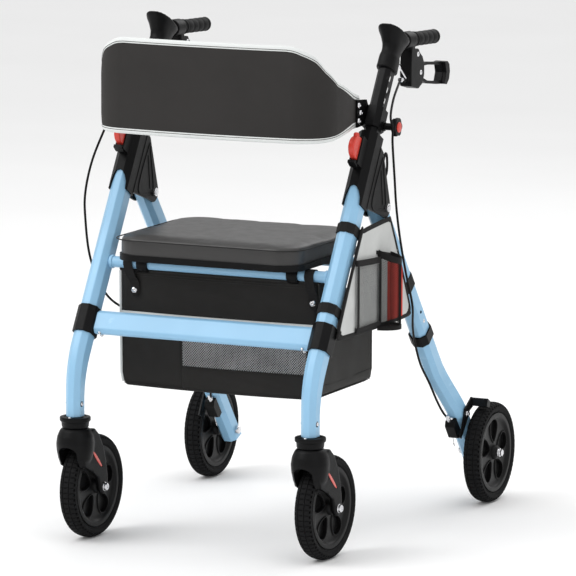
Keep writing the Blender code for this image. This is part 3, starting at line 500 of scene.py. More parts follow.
def flipped(face):
    """Half a turn about Z for the -X face of a pair."""
    return Matrix.Rotation(0 if face > 0 else math.pi, 4, "Z")


def facing(face, side):
    """The word in a piece's name for the face of a pair that looks outwards or inwards."""
    return "out" if face == side else "in"


def dome(place, direction, radius, height, mat, body, name, count=24):
    """A low rivet or screw head on a surface, with a small recess in its crown. In the near-black recess
    paint it is a disc of painted shade.
    """
    profile = [(height * 0.62, 0), (height * 0.62, radius * 0.22), (height, radius * 0.34),
               (height * 0.86, radius * 0.66), (height * 0.5, radius * 0.92), (0, radius),
               (-height * 0.6, radius), (-height * 0.6, 0)]
    return piece(name, aimed(turned(profile, count), place, direction), mat, body)


def chrome_dome(place, direction, radius, height, body, name, count=24):
    return dome(place, direction, radius, height, CHROME, body, name, count)


def hex_bolt(place, direction, radius, height, body, name):
    """A hexagon head on a round washer."""
    washer = turned([(0, 0), (0, radius * 1.25), (height * 0.2, radius * 1.2), (height * 0.2, 0)], 28)
    head = turned([(height * 0.2, 0), (height * 0.2, radius), (height * 0.9, radius),
                   (height, radius * 0.82), (height, 0)], 6)
    bm = aimed(join(washer, head), place, direction)
    return piece(name, bm, CHROME, body, angle=25)


# ---------------------------------------------------------------- wheels


def tyre_mesh():
    """A tyre with two running grooves, cross cuts in its blocks and a ring of shoulder pits."""
    blocks, steps = 60, 5
    cut_depth, pit_depth, pit_shift = 0.0022, 0.0016, 0.80
    half = ((0.0120, 0.0800, ""), (0.0150, 0.0826, ""), (0.0160, 0.0836, ""), (0.0156, 0.0850, ""),
            (0.0168, 0.0872, ""), (0.0172, 0.0900, ""), (0.0170, 0.0922, ""), (0.0168, 0.0930, "pit"),
            (0.0158, 0.0955, "pit"), (0.0152, 0.0964, ""), (0.0140, 0.0976, "cut"),
            (0.0115, 0.0990, "cut"), (0.0090, 0.0999, "cut"), (0.0074, 0.1003, ""),
            (0.0068, 0.0990, ""), (0.0058, 0.0990, ""), (0.0052, 0.1007, ""), (0.0030, 0.1009, "cut"),
            (0.0008, 0.1010, "cut"))
    profile = list(half) + [(-x, r, tag) for x, r, tag in half[::-1]]
    bm = bmesh.new()
    loops = []
    for i in range(blocks * steps):
        angle = 2 * math.pi * i / (blocks * steps)
        ring = []
        for x, r, tag in profile:
            if tag == "cut" and i % steps == 0:
                r -= cut_depth
            if tag == "pit" and i % steps in (1, 2):
                r, x = r - pit_depth, x * pit_shift
            ring.append(bm.verts.new((x, r * math.sin(angle), -r * math.cos(angle))))
        loops.append(ring)
    for i, here in enumerate(loops):
        there = loops[(i + 1) % len(loops)]
        for j in range(len(profile)):
            k = (j + 1) % len(profile)
            bm.faces.new((here[j], here[k], there[k], there[j]))
    return bm


def petal(grow):
    """The (radius, across) outline of one bowl between two spokes, narrower near the hub."""
    middle, long, wide, taper = 0.0438, 0.0226 + grow, 0.0162 + grow, 0.42
    return [(middle - long * c, wide * s * (1.0 - taper * c)) for c, s in circle(1, 26)]


def rim_object(name, place, body):
    """A moulded rim: a flanged seat, a web with five petal bowls each side, their lips and a hub."""
    half = [(0.0185, 0.0064), (0.0185, 0.0120), (0.0170, 0.0136), (0.0100, 0.0150),
            (0.0088, 0.0180), (0.0080, 0.0230), (0.0076, 0.0400), (0.0080, 0.0600),
            (0.0092, 0.0664), (0.0128, 0.0692), (0.0146, 0.0706), (0.0150, 0.0730),
            (0.0146, 0.0795), (0.0118, 0.0799)]
    bm = turned(half + [(-x, r) for x, r in half[::-1]], 90, closed=True)
    obj = piece(name, bm, RIM, None, angle=50)
    lips = []
    spokes, floor_x = 5, 0.0015
    section = ((0.0070, 0.0), (0.0094, 0.0), (0.0100, 0.0008), (0.0100, 0.0018), (0.0094, 0.0026),
               (0.0070, 0.0026))
    for k in range(spokes):
        turn = Matrix.Rotation(2 * math.pi * (k + 0.25) / spokes, 4, "X")
        for face in (-1, 1):
            room = slab(petal(0.0), *sorted((face * floor_x, face * 0.0300)))
            carve(obj, moved(room, turn))
            rings = [[(face * x, y, z) for y, z in petal(grow)] for x, grow in section]
            lips.append(moved(loft(rings, closed=True), turn))
    lip_obj = piece(name + "_lips", join(*lips), RIM, None, angle=50)
    for part in (obj, lip_obj):
        part.data.transform(place)
        part.data.update()
        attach(part, body)
    return obj


def wheel(tag, end, place, body):
    """A tyre and a rim at a hub, for both ends of the walker."""
    tyre = piece(f"{end}_tyre_{tag}_visual", moved(tyre_mesh(), place), TYRE, body,
                 angle=24)
    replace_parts(tyre, f"{end}_tyre_{tag}")
    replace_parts(rim_object(f"{end}_rim_{tag}_visual", place, body), f"{end}_rim_{tag}")


def rear_wheels():
    for tag, side in SIDES:
        hub = Vector(joints["rear_wheel_spin_" + tag]["pos_m"])
        wheel(tag, "rear", Matrix.Translation(hub), "rear_wheel_" + tag)
        hex_bolt(hub + Vector((side * 0.0215, 0, 0)), (side, 0, 0), 0.0075, 0.0075,
                 "rear_frame", "hub_nut_" + tag)


def caster_body(tag, side):
    """The swivelling fork: a bulbous crown that melts into two arms swept back to the axle."""
    stem = Vector(joints["caster_swivel_" + tag]["pos_m"])
    spin = Vector(joints["front_wheel_spin_" + tag]["axis"])
    yaw = math.atan2(spin.y, spin.x)
    base = Matrix.Translation((stem.x, stem.y, 0)) @ Matrix.Rotation(yaw, 4, "Z")
    hub = base @ Matrix.Translation((0, TRAIL, WHEEL_R))
    crown = [(0.2246, 0), (0.2246, 0.0255), (0.2200, 0.0300), (0.2080, 0.0352), (0.1940, 0.0372),
             (0.1800, 0.0362), (0.1640, 0.0325), (0.1500, 0.0255), (0.1400, 0)]
    arm = [(0.026, 0.222), (0.046, 0.206), (0.060, 0.182), (0.070, 0.152), (0.0765, 0.120)]
    arm += arc((TRAIL, WHEEL_R), 0.0150, 10, -150, 7)
    arm += [(0.040, 0.122), (0.016, 0.138), (-0.010, 0.150), (-0.018, 0.166), (-0.020, 0.182),
            (-0.018, 0.200), (-0.010, 0.214)]
    parts = [turned(crown, 40, axis="Z")]
    for face in (-1, 1):
        parts.append(slab(arm, *sorted((face * 0.0195, face * 0.0290))))
    fork = piece(f"caster_fork_{tag}_visual", moved(join(*parts), base), PLASTIC, None)
    moulding(fork, 0.0020, 5)
    half = 0.0200                                   # of the room for the wheel
    room = turned([(-half, 0), (-half, 0.1055), (half, 0.1055), (half, 0)], 96)
    carve(fork, moved(room, hub))
    arch = [(half, 0.080)] + [(x, 0.1770 + z * 0.66) for x, z in arc((0, 0), half, 0, 180, 14)]
    arch += [(-half, 0.080)]
    carve(fork, moved(loft([[(x, y, z) for x, z in arch] for y in (-0.06, 0.03)]), base))
    fork.data.shade_smooth()
    fork.data.set_sharp_from_angle(angle=math.radians(38))
    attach(fork, "caster_" + tag)
    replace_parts(fork, "caster_fork_" + tag)
    middle = (0.0345, 0.1600)                       # of the reflectors, back and up
    leaning = [(0.0052 * y - 0.0171 * z, 0.018164 * z - 0.00052 * y) for y, z in circle(1, 18)]
    inset = [(middle[0] + y, middle[1] + z) for y, z in leaning]
    border = [(middle[0] + y * 1.22, middle[1] + z * 1.10) for y, z in leaning]
    for face in (-1, 1):
        word = facing(face, side)
        # A near-black ring round each reflector, painted shade for the recess it sits in.
        shade_ring = slab(border, *sorted((face * 0.0270, face * 0.0293)))
        piece(f"reflector_shade_ring_{tag}_{word}", moved(shade_ring, base), RECESS_SHADE, "caster_" + tag)
        plate = slab(inset, *sorted((face * 0.0270, face * 0.0300)))
        reflector = piece(f"reflector_{tag}_{word}", moved(plate, base), REFLECTOR, "caster_" + tag)
        rounded(reflector, 0.0008, 2)
        bolt = turned([(0.0, 0), (0.0, 0.0086), (0.0012, 0.0088), (0.0020, 0.0078), (0.0056, 0.0072),
                       (0.0066, 0.0060), (0.0066, 0.0030), (0.0044, 0.0026), (0.0044, 0)], 24)
        head = hub @ Matrix.Translation((face * 0.0292, 0, 0)) @ flipped(face)
        piece(f"caster_bolt_{tag}_{word}", moved(bolt, head), CHROME, "caster_" + tag,
              angle=30)
    wheel(tag, "front", hub, "front_wheel_" + tag)


def caster_sockets():
    """The two-step cup over each caster, with its bearing's dust lip."""
    for tag, side in SIDES:
        low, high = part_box("caster_socket_" + tag)
        top, bottom = high.z, low.z
        profile = [(bottom, 0), (bottom, 0.0235), (bottom + 0.0010, 0.0252), (bottom + 0.0030, 0.0262),
                   (bottom + 0.0112, 0.0270), (bottom + 0.0122, 0.0276), (bottom + 0.0134, 0.0294),
                   (bottom + 0.0150, 0.0300), (top - 0.0022, 0.0300), (top - 0.0006, 0.0294),
                   (top, 0.0280), (top, 0.0225), (top - 0.0014, 0.0218), (top - 0.0014, 0)]
        centre = Matrix.Translation((side * LEG_X, STEM_Y, 0))
        cup = piece(f"caster_socket_{tag}_visual", moved(turned(profile, 64, axis="Z"), centre),
                    PLASTIC, "front_frame", angle=30)
        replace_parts(cup, "caster_socket_" + tag)
        chrome_dome(at(side * LEG_X, -0.0236, top + 0.0002), (0, -0.2, 1), 0.0030, 0.0016,
                    "front_frame", "socket_screw_" + tag)


# ---------------------------------------------------------------- handles and brakes


BAR_START, BAR_END = at(0, 0.3850, 0.9600), at(0, 0.5640, 0.9527)        # under each grip
BAR_ALONG = (BAR_END - BAR_START).normalized()
CLAMP_FROM, CLAMP_TO, GRIP_FROM = 0.0340, 0.0685, 0.0700                 # along the bar


def on_bar(x, along):
    """A point of the bar under a grip."""
    return Vector((x, 0, 0)) + BAR_START + BAR_ALONG * along


def handle_heads():
    """The moulded head on each post, flared in front and drawn out into the bar."""
    levels = ((0.0182, 0.0240, 0.5635, 0), (0.0190, 0.0250, 0.5660, 0), (0.0186, 0.0242, 0.5720, 0),
              (0.0184, 0.0240, 0.5900, 0), (0.0166, 0.0222, 0.5980, 0), (0.0162, 0.0236, 0.6040, 0.001),
              (0.0172, 0.0275, 0.6140, 0.0015), (0.0205, 0.0365, 0.6260, -0.0015),
              (0.0245, 0.0435, 0.6340, -0.0045), (0.0262, 0.0466, 0.6396, -0.006),
              (0.0250, 0.0450, 0.6424, -0.006), (0.0170, 0.0330, 0.6396, -0.005))
    squareness = 0.8                                # 1 would leave the levels oval
    for tag, side in SIDES:
        rings = []
        for half_x, half_y, z, shift in levels:
            ring = []
            for spot in circle(1, 40):
                x, y = [math.copysign(abs(v) ** squareness, v) for v in spot]
                ring.append((half_x * x, half_y * y + shift, z))
            rings.append(ring)
        bar_start = on_bar(side * LEG_X, 0)
        bar_end = on_bar(side * LEG_X, 0.41 * (BAR_END - BAR_START).length)
        gusset_low = leg(side * LEG_X, 0.004, 0.590)
        bar = tube([bar_start, bar_end], 0.0108, 28)
        gusset = tube([gusset_low, bar_start + Vector((0, 0.012, -0.004)),
                       bar_start + Vector((0, 0.040, -0.003))], 0.0125, 24)
        head = piece(f"handle_head_{tag}_visual", join(on_leg(loft(rings), side), bar, gusset),
                     PLASTIC, None)
        moulding(head, 0.0019, 5)
        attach(head, "handle_" + tag)
        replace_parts(head, "handle_head_" + tag)


def grips():
    """Rubber grips: a flange, two rings, finger rolls and a domed end."""
    length = (BAR_END - BAR_START).length - GRIP_FROM
    profile = [(0, 0.0108), (0, 0.0146), (0.0010, 0.0154), (0.0044, 0.0156), (0.0056, 0.0148),
               (0.0064, 0.0132), (0.0092, 0.0131), (0.0104, 0.0146), (0.0116, 0.0153),
               (0.0146, 0.0153), (0.0158, 0.0146), (0.0168, 0.0133)]
    rolls, steps = 4, 8
    stretch = length - 0.0200
    for i in range(rolls * steps + 1):
        u = 0.0185 + stretch * i / (rolls * steps)
        dip = abs(math.sin(math.pi * i / steps)) ** 0.55
        profile.append((u, 0.0128 + 0.0014 * dip))
    profile += [(length + 0.0010, 0.0141), (length + 0.0052, 0.0143), (length + 0.0080, 0.0130),
                (length + 0.0096, 0.0100), (length + 0.0100, 0.0040), (length + 0.0100, 0)]
    for tag, side in SIDES:
        bm = aimed(turned([(0, 0)] + profile, 48), on_bar(side * LEG_X, GRIP_FROM), BAR_ALONG)
        grip = piece(f"grip_{tag}_visual", bm, RUBBER, "handle_" + tag, angle=50)
        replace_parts(grip, "grip_" + tag)


def brake_housings():
    """The lever housings, with their bar clamps, bolts and the cables' barrel adjusters."""
    outline = [(0.4370, 0.945), (0.4520, 0.945), (0.4540, 0.9390), (0.4700, 0.9390),
               (0.4740, 0.932), (0.4890, 0.922), (0.4970, 0.908), (0.4980, 0.886), (0.4880, 0.868),
               (0.4700, 0.8600), (0.4340, 0.8680), (0.4330, 0.900)]
    for tag, side in SIDES:
        x = side * LEG_X
        body = slab([(STEM_Y + y, z) for y, z in outline], x - 0.0125, x + 0.0125)
        clamp = tube([on_bar(x, CLAMP_FROM), on_bar(x, CLAMP_TO)], 0.0172, 40)
        boss = tube([at(x, 0.4360, 0.8830), at(x, 0.4200, 0.8832)], 0.0068, 20)
        housing = piece(f"brake_housing_{tag}_visual", join(body, clamp, boss), PLASTIC, None)
        moulding(housing, 0.0016, 4)
        carve(housing, slab([(STEM_Y + y, z) for y, z in
                             ((0.4665, 0.8500), (0.54, 0.8500), (0.54, 0.9175), (0.4665, 0.9175))],
                            x - 0.0056, x + 0.0056))
        housing.data.set_sharp_from_angle(angle=math.radians(38))
        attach(housing, "handle_" + tag)
        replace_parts(housing, "brake_housing_" + tag)
        for k, (back, up) in enumerate(((0.4660, 0.928), (0.4800, 0.891))):
            for face, letter in ((-1, "b"), (1, "a")):
                chrome_dome(at(x + face * 0.0118, back, up), (face, 0, 0), 0.0050, 0.0026,
                            "handle_" + tag, f"lever_bolt_{tag}_{k}_{letter}")
        barrel = turned([(0, 0), (0, 0.0040), (0.0030, 0.0044), (0.0040, 0.0056), (0.0090, 0.0056),
                         (0.0098, 0.0044), (0.0150, 0.0040), (0.0160, 0.0028), (0.0160, 0)], 14)
        rod = tube([at(x + side * 0.0110, 0.3740, 0.9150), at(x + side * 0.0060, 0.4210, 0.8860)],
                   0.0017, 10)
        nut = tube([at(x + side * 0.0112, 0.3700, 0.9176), at(x + side * 0.0104, 0.3790, 0.9120)],
                   0.0042, 6)
        piece("adjuster_rod_" + tag, join(rod, nut), CHROME, "handle_" + tag, angle=30)
        piece(f"barrel_adjuster_{tag}", aimed(barrel, at(x, 0.4060, 0.8832), (0, 1, 0)), CHROME,
              "handle_" + tag, angle=30)


def post_marks():
    """The row of pale height marks down each post."""
    for tag, side in SIDES:
        for face in (-1, 1):
            ticks = []
            for i in range(4):
                z, x = 0.4740 + i * 0.0235, face * 0.0137
                ticks.append(slab([(-0.0088, z - 0.0050), (-0.0050, z - 0.0062), (-0.0034, z + 0.0046),
                                   (-0.0072, z + 0.0060)], *sorted((x - face * 0.0004, x + face * 0.0002))))
            piece(f"post_ticks_{tag}_{facing(face, side)}", on_leg(join(*ticks), side), MARK,
                  "handle_" + tag)


# ---------------------------------------------------------------- frame details


def tubes():
    """The two round cross tubes, drawn smooth, with moulded ferrules at their ends."""
    for name, body in (("upper_crossbar", "front_frame"), ("rear_cross_tube", "rear_frame")):
        low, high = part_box(name)
        centre, radius = (low + high) / 2, (high.z - low.z) / 2
        half = (high.x - low.x) / 2
        profile = [(-half, 0), (-half, radius), (-half + 0.004, radius), (half - 0.004, radius),
                   (half, radius), (half, 0)]
        bar = piece(name + "_visual", moved(turned(profile, 48), Matrix.Translation(centre)), BLUE,
                    body)
        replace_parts(bar, name)
        rings = []
        for side in (-1, 1):
            collar = [(0, radius - 0.001), (0, radius + 0.0016), (0.0012, radius + 0.0022),
                      (0.0052, radius + 0.0022), (0.0064, radius + 0.0012), (0.0064, radius - 0.001)]
            ring = turned([(side * (half - 0.0066 + u), r) for u, r in collar], 40, closed=True)
            rings.append(moved(ring, Matrix.Translation(centre)))
        piece(name + "_ends", join(*rings), BLUE, body)


def housing_details():
    """Raised ribs round the wings of the hinge housings, pivot nuts and the release loops."""
    triangle = [(0.0290, 0.3880), (0.0410, 0.3800), (0.0870, 0.3260), (0.0880, 0.3130),
                (0.0790, 0.3060), (0.0290, 0.2945)]
    for tag, side in SIDES:
        x = side * LEG_X
        for face in (-1, 1):
            word = facing(face, side)
            path = smooth_path([(face * 0.0217, y, z) for y, z in triangle], 6, closed=True)
            section = [(-0.0018, -0.0010 * face), (-0.0012, 0.0012 * face), (0.0012, 0.0012 * face),
                       (0.0018, -0.0010 * face)]
            rib = sweep(path, section, Vector((1, 0, 0)), closed=True)
            piece(f"housing_rib_{tag}_{word}", on_leg(rib, side), PLASTIC, "front_frame",
                  angle=50)
            line = [Vector((face * 0.0216, y, z)) for y, z in ((0.0340, 0.3700), (0.0760, 0.3160))]
            web = sweep(line, [(-0.0012, -0.0010), (-0.0008, 0.0010), (0.0008, 0.0010),
                               (0.0012, -0.0010)], Vector((1, 0, 0)))
            piece(f"housing_web_{tag}_{word}", on_leg(web, side), PLASTIC, "front_frame")
            hex_bolt(REAR_PIVOT + Vector((x + face * 0.0230, 0, 0)), (face, 0, 0), 0.0060, 0.0058,
                     "front_frame", f"pivot_nut_{tag}_{word}")
        loop = [at(x + side * 0.012, y, z) for y, z in
                ((0.3020, 0.7160), (0.3090, 0.7060), (0.3190, 0.7120), (0.3220, 0.7300),
                 (0.3190, 0.7480), (0.3120, 0.7500), (0.3040, 0.7360))]
        cord = tube(smooth_path(loop, 5, True), 0.0024, 10, True, Vector((1, 0, 0)))
        piece("release_loop_" + tag, cord, PLASTIC, "front_frame", angle=80)
        tab = slab([(0.0270, 0.3640), (0.0460, 0.3560), (0.0490, 0.3600), (0.0270, 0.3780)],
                   0.0090, 0.0150)
        if side < 0:
            bmesh.ops.scale(tab, verts=tab.verts, vec=(-1, 1, 1))
        rounded(piece("release_tab_" + tag, on_leg(tab, side), PLASTIC, "front_frame"), 0.001)
        nub = turned([(0.0, 0), (0.0, 0.0056), (0.0020, 0.0060), (0.0062, 0.0052), (0.0078, 0.0034),
                      (0.0082, 0)], 20)
        aimed(nub, (0, -0.0622, 0.3965), (0, -0.45, 0.9))
        piece("button_nub_" + tag, on_leg(nub, side), RED, "button_" + tag)


def small_fittings():
    """Rivets, screws, knob caps, the parts of the parking brake, and near-black discs of painted shade at
    the feet and a rear-leg screw.
    """
    for tag, side in SIDES:
        x = side * LEG_X
        plate_x = side * 0.2305
        for k, (back, up) in enumerate(((0.2520, 0.8490), (0.2600, 0.8340), (0.2520, 0.8190))):
            for face, letter in ((-1, "b"), (1, "a")):
                reach = plate_x + face * (0.0026 if face == side else 0.0)
                chrome_dome(at(reach, back, up), (face, 0, 0), 0.0060, 0.0034, "backrest",
                            f"rivet_{tag}_{k}_{letter}")
        knob_low, knob_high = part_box("clamp_knob_" + tag)
        knob = (knob_low + knob_high) / 2
        face_x = knob_high.x if side > 0 else knob_low.x
        cap = turned([(0, 0), (0, 0.0098), (0.0012, 0.0104), (0.0022, 0.0092), (0.0027, 0.0060),
                      (0.0029, 0)], 32)
        place = Matrix.Translation((face_x, knob.y, knob.z)) @ flipped(side)
        piece("knob_cap_" + tag, moved(cap, place), RED, "knob_" + tag)
        for face in (-1, 1):
            word = facing(face, side)
            # Under each foot rivet sits a wider near-black disc, painted shade for a recess round the
            # rivet.
            dome(at(x + face * 0.0150, -0.0030, 0.2720), (face, 0, 0), 0.0060, 0.0014, RECESS_SHADE,
                 "front_frame", f"foot_rivet_shade_{tag}_{word}")
            chrome_dome(at(x + face * 0.0154, -0.0030, 0.2720), (face, 0, 0), 0.0042, 0.0030,
                        "front_frame", f"foot_rivet_{tag}_{word}")
        for k in range(2):
            under = leg(x - side * 0.0345, -0.0060 + k * 0.0120, -0.0237)
            chrome_dome(under, -ALONG, 0.0030, 0.0026, "front_frame", f"crossbar_screw_{tag}_{k}")
        # The first of these is a near-black dome of painted shade for a screw recess; the second is a
        # chrome screw head.
        for k, z in enumerate((0.4180, 0.3980)):
            back = REAR_PIVOT.y + (REAR_PIVOT.z - z) * REAR_SLOPE
            dome(Vector((x + side * 0.0164, back, z)), (side, 0, 0), 0.0032 + 0.0008 * k, 0.0020,
                 (RECESS_SHADE, CHROME)[k], "rear_frame", f"rear_leg_screw_{tag}_{k}")
        pivot = Vector(joints["brake_apply_" + tag]["pos_m"])
        hex_bolt(Vector((side * 0.2909, pivot.y, pivot.z)), (side, 0, 0), 0.0048, 0.0042, "arm_" + tag,
                 "brake_arm_bolt_" + tag)
        mount_low, mount_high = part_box("brake_mount_" + tag)
        mid = (mount_low + mount_high) / 2
        down = Vector((0, 0.618, -0.786))
        screw = turned([(0, 0), (0, 0.0046), (0.004, 0.0050), (0.009, 0.0050), (0.0105, 0.0040),
                        (0.0165, 0.0036), (0.0180, 0.0028), (0.018, 0)], 12)
        top = at(side * 0.2640, 0.6272, 0.1792) + down * 0.006
        piece("cable_adjuster_" + tag, aimed(screw, top, -down), CHROME, "rear_frame",
              angle=25)
        for k, z in enumerate((0.184, 0.168)):
            behind = mount_low.y + 0.0075 + (0.184 - z) * 0.62
            chrome_dome(Vector((mid.x + side * 0.0004, behind, z - 0.004)),
                        (0.15 * side, -0.78, -0.3), 0.0044, 0.0040, "rear_frame",
                        f"anchor_screw_{tag}_{k}")
        tail = [at(side * 0.2640, 0.6390, 0.1620), at(side * 0.2635, 0.6440, 0.1480),
                at(side * 0.2645, 0.6500, 0.1340), at(side * 0.2640, 0.6570, 0.1200)]
        piece("cable_tail_" + tag, tube(smooth_path(tail, 4), 0.0007, 8), CHROME, "rear_frame")
        end = turned([(0, 0), (0, 0.0010), (0.006, 0.0010), (0.006, 0)], 10)
        aimed(end, at(side * 0.2640, 0.6560, 0.1220), -down)
        piece("cable_tail_cap_" + tag, end, CHROME, "rear_frame")


TO_THE_ARMS = ((0.250, 0.4880, 0.3550), (0.2465, 0.5240, 0.3060), (0.2485, 0.5640, 0.2620),
               (0.2520, 0.5930, 0.2230), (0.2570, 0.6130, 0.1960), (0.2640, 0.6272, 0.1792))
RIGHT_ROUTE = ((0.250, 0.4090, 0.8832), (0.262, 0.3720, 0.8770), (0.276, 0.3180, 0.8560),
               (0.2905, 0.2730, 0.8290), (0.2985, 0.2650, 0.8050), (0.2945, 0.2740, 0.7760),
               (0.291, 0.2920, 0.7100), (0.289, 0.3060, 0.6500), (0.286, 0.3300, 0.5890),
               (0.283, 0.3660, 0.5150), (0.280, 0.4060, 0.4450), (0.262, 0.4500, 0.3920),
               *TO_THE_ARMS)
LEFT_ROUTE = ((0.250, 0.4090, 0.8832), (0.266, 0.3640, 0.8760), (0.280, 0.2900, 0.8480),
              (0.285, 0.2350, 0.8150), (0.285, 0.1970, 0.7820), (0.286, 0.1450, 0.7260),
              (0.286, 0.1160, 0.6700), (0.285, 0.1120, 0.6200), (0.283, 0.1300, 0.5350),
              (0.279, 0.1850, 0.4600), (0.273, 0.2600, 0.4180), (0.264, 0.3500, 0.3930),
              (0.254, 0.4380, 0.3760), *TO_THE_ARMS)


def cables():
    """Each brake cable in two lengths that meet where both follow the front frame."""
    meet, steps = 7, 10
    split = meet * steps
    for tag, side, route in (("L", -1, LEFT_ROUTE), ("R", 1, RIGHT_ROUTE)):
        points = [at(side * x, back, up) for x, back, up in route]
        path = smooth_path(points, steps)
        upper = piece(f"brake_cable_{tag}_upper", tube(path[:split + 1], 0.0023, 14), PLASTIC, None,
                      angle=80)
        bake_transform(upper)
        lower = piece(f"brake_cable_{tag}_lower", tube(path[split:], 0.0023, 14), PLASTIC, None,
                      angle=80)
        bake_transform(lower)
        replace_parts(upper, "brake_cable_" + tag)
        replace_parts(lower, "brake_cable_" + tag)


# ---------------------------------------------------------------- backrest


def band_top(back):
    """The strap's top edge, which drops round its corners and along its arms."""
    edge = ((0.057, 0.9770), (0.063, 0.9690), (0.077, 0.9560), (0.093, 0.9340), (0.125, 0.9067),
            (0.203, 0.8807), (0.286, 0.8580))
    return float(np.interp(back, [y for y, _ in edge], [z for _, z in edge]))


def band_line(count):
    """The backrest strap's middle line in plan, end to end, with each point's height limits."""
    corner_x, corner_y, radius = 0.1720, 0.1270, 0.0700
    half = [(corner_x * i / 6, 0.0480 + 0.0090 * (i / 6) ** 2) for i in range(7)]
    half += arc((corner_x, corner_y), radius, -90, 0, 8)[1:]
    half += [(0.2415, 0.160), (0.2365, 0.200), (0.2275, 0.236), (0.2268, 0.262)]
    plan = [(-x, y) for x, y in half[:0:-1]] + half
    path = smooth_path([Vector((x, y, 0)) for x, y in plan], 4)
    found = []
    for p in path:
        narrow = min(max((p.y - 0.070) / 0.150, 0), 1)
        narrow = narrow * narrow * (3 - 2 * narrow)
        found.append((at(p.x, p.y, 0), 0.798 + 0.011 * narrow, band_top(p.y), narrow))
    return found[::max(1, len(found) // count)]


def backrest():
    """The padded strap, its pale bindings and the stitching that holds them."""
    line = band_line(200)
    flat = [p for p, _, _, _ in line]
    frames = frames_along(flat)
    rings, top_edge, low_edge = [], [], []
    rows = 14
    for (p, low, high, narrow), (_, side, _) in zip(line, frames):
        thick = 0.0064 - 0.0038 * narrow
        ring = []
        for face in (1, -1):
            for j in range(rows + 1):
                u = j / rows if face > 0 else 1 - j / rows
                puff = thick * (0.55 + 0.45 * min(1, 5 * u, 5 * (1 - u)) ** 0.5)
                ring.append(p + side * face * puff + Vector((0, 0, low + (high - low) * u)))
        rings.append(ring)
        top_edge.append(p + Vector((0, 0, high - 0.0040)))
        low_edge.append(p + Vector((0, 0, low + 0.0040)))
    strap = piece("backrest_strap", loft(rings), BACKREST, "backrest", angle=60)
    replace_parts(strap, "backrest_band")
    oval = [(0.0058 * a, 0.0076 * b) for a, b in circle(1, 18)]
    for name, edge in (("top", top_edge), ("bottom", low_edge)):
        path_rings = []
        for (p, _, _, narrow), (_, side, _), centre in zip(line, frames, edge):
            slim = 1.0 - 0.42 * narrow
            path_rings.append([centre + side * (a * slim * 0.84) + Vector((0, 0, b)) for a, b in oval])
        piece("backrest_binding_" + name, loft(path_rings), PIPING, "backrest",
              angle=70)
    seams = []
    for edge in (top_edge, low_edge):
        for face in (1, -1):
            thread = [centre + side * face * 0.0048 * (1.0 - 0.42 * row[3])
                      for row, (_, side, _), centre in zip(line, frames, edge)]
            seams.append(tube(thread, 0.0006, 6))
    piece("backrest_stitching", join(*seams), NYLON_SIDE, "backrest")


# ---------------------------------------------------------------- seat


def pad_section(inset, steps=9):
    """The seat pad's rounded outline in plan, drawn in by an inset."""
    low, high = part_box("seat_pad")
    centre = (low + high) / 2
    half_x, half_y = (high.x - low.x) / 2 - inset, (high.y - low.y) / 2 - inset
    radius = 0.050 - inset * 0.6
    points = []
    for sx, sy, first in ((1, 1, 0), (-1, 1, 90), (-1, -1, 180), (1, -1, 270)):
        corner = (sx * (half_x - radius), sy * (half_y - radius))
        points += arc(corner, radius, first, first + 90, steps)
    return [(x, y + centre.y) for x, y in points]


def inflate(obj, cap):
    """Blows the pad up by cloth simulation, holding every point within cap of where it began."""
    remesh = obj.modifiers.new("skin", "REMESH")
    remesh.mode, remesh.voxel_size = "VOXEL", 0.0058
    freeze(obj)
    count = len(obj.data.vertices)
    before = np.empty(count * 3)
    obj.data.vertices.foreach_get("co", before)
    cloth = obj.modifiers.new("cloth", "CLOTH")
    cloth.settings.use_pressure = True
    cloth.settings.uniform_pressure_force = 4.0
    cloth.settings.effector_weights.gravity = 0.0
    cloth.settings.tension_stiffness = cloth.settings.compression_stiffness = 12.0
    cloth.settings.quality = 4
    scene = bpy.context.scene
    frames = 20
    for number in range(1, frames + 1):
        scene.frame_set(number)
    freeze(obj)
    after = np.empty(count * 3)
    obj.data.vertices.foreach_get("co", after)
    move = (after - before).reshape(-1, 3)
    length = np.linalg.norm(move, axis=1, keepdims=True)
    move *= np.minimum(1.0, cap / np.maximum(length, 1e-9))
    obj.data.vertices.foreach_set("co", (before.reshape(-1, 3) + move).ravel())
    obj.data.update()
    scene.frame_set(1)


def seat():
    """The cushion: firm sides, a slightly crowned top and a welt just under its edge."""
    low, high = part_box("seat_pad")
    floor_z = low.z - 0.0106
    levels = ((0.0100, floor_z), (0.0046, floor_z + 0.0012), (0.0036, floor_z + 0.0050),
              (0.0034, low.z + 0.0080), (0.0036, low.z + 0.0180), (0.0036, high.z - 0.0110),
              (0.0042, high.z - 0.0070), (0.0072, high.z - 0.0042), (0.0160, high.z - 0.0034))
    rings = [[(x, y, z) for x, y in pad_section(inset)] for inset, z in levels]
    cushion = piece("seat_cushion", loft(rings), VINYL, None, angle=70)
    inflate(cushion, 0.0050)
    fine(cushion)
    for vertex in cushion.data.vertices:
        vertex.co.z = max(vertex.co.z, floor_z)
        vertex.co.z = min(vertex.co.z, high.z + 0.0035)
    cushion.data.shade_smooth()
    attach(cushion, "seat")
    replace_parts(cushion, "seat_pad")
    path = [Vector((x, y, high.z - 0.0075)) for x, y in pad_section(-0.0002, 12)]
    piece("seat_welt", tube(path, 0.0012, 8, closed=True), SEAM, "seat", angle=80)
    hinge = joints["seat_lift"]["pos_m"]
    for tag, side in SIDES:
        clip = turned([(-0.0105, 0.0112), (-0.0105, 0.0160), (-0.0090, 0.0172), (0.0090, 0.0172),
                       (0.0105, 0.0160), (0.0105, 0.0112)], 36, closed=True)
        place = Matrix.Translation((side * 0.160, hinge[1], hinge[2]))
        piece("seat_clip_" + tag, moved(clip, place), PLASTIC, "seat", angle=50)


# ---------------------------------------------------------------- nets and bags


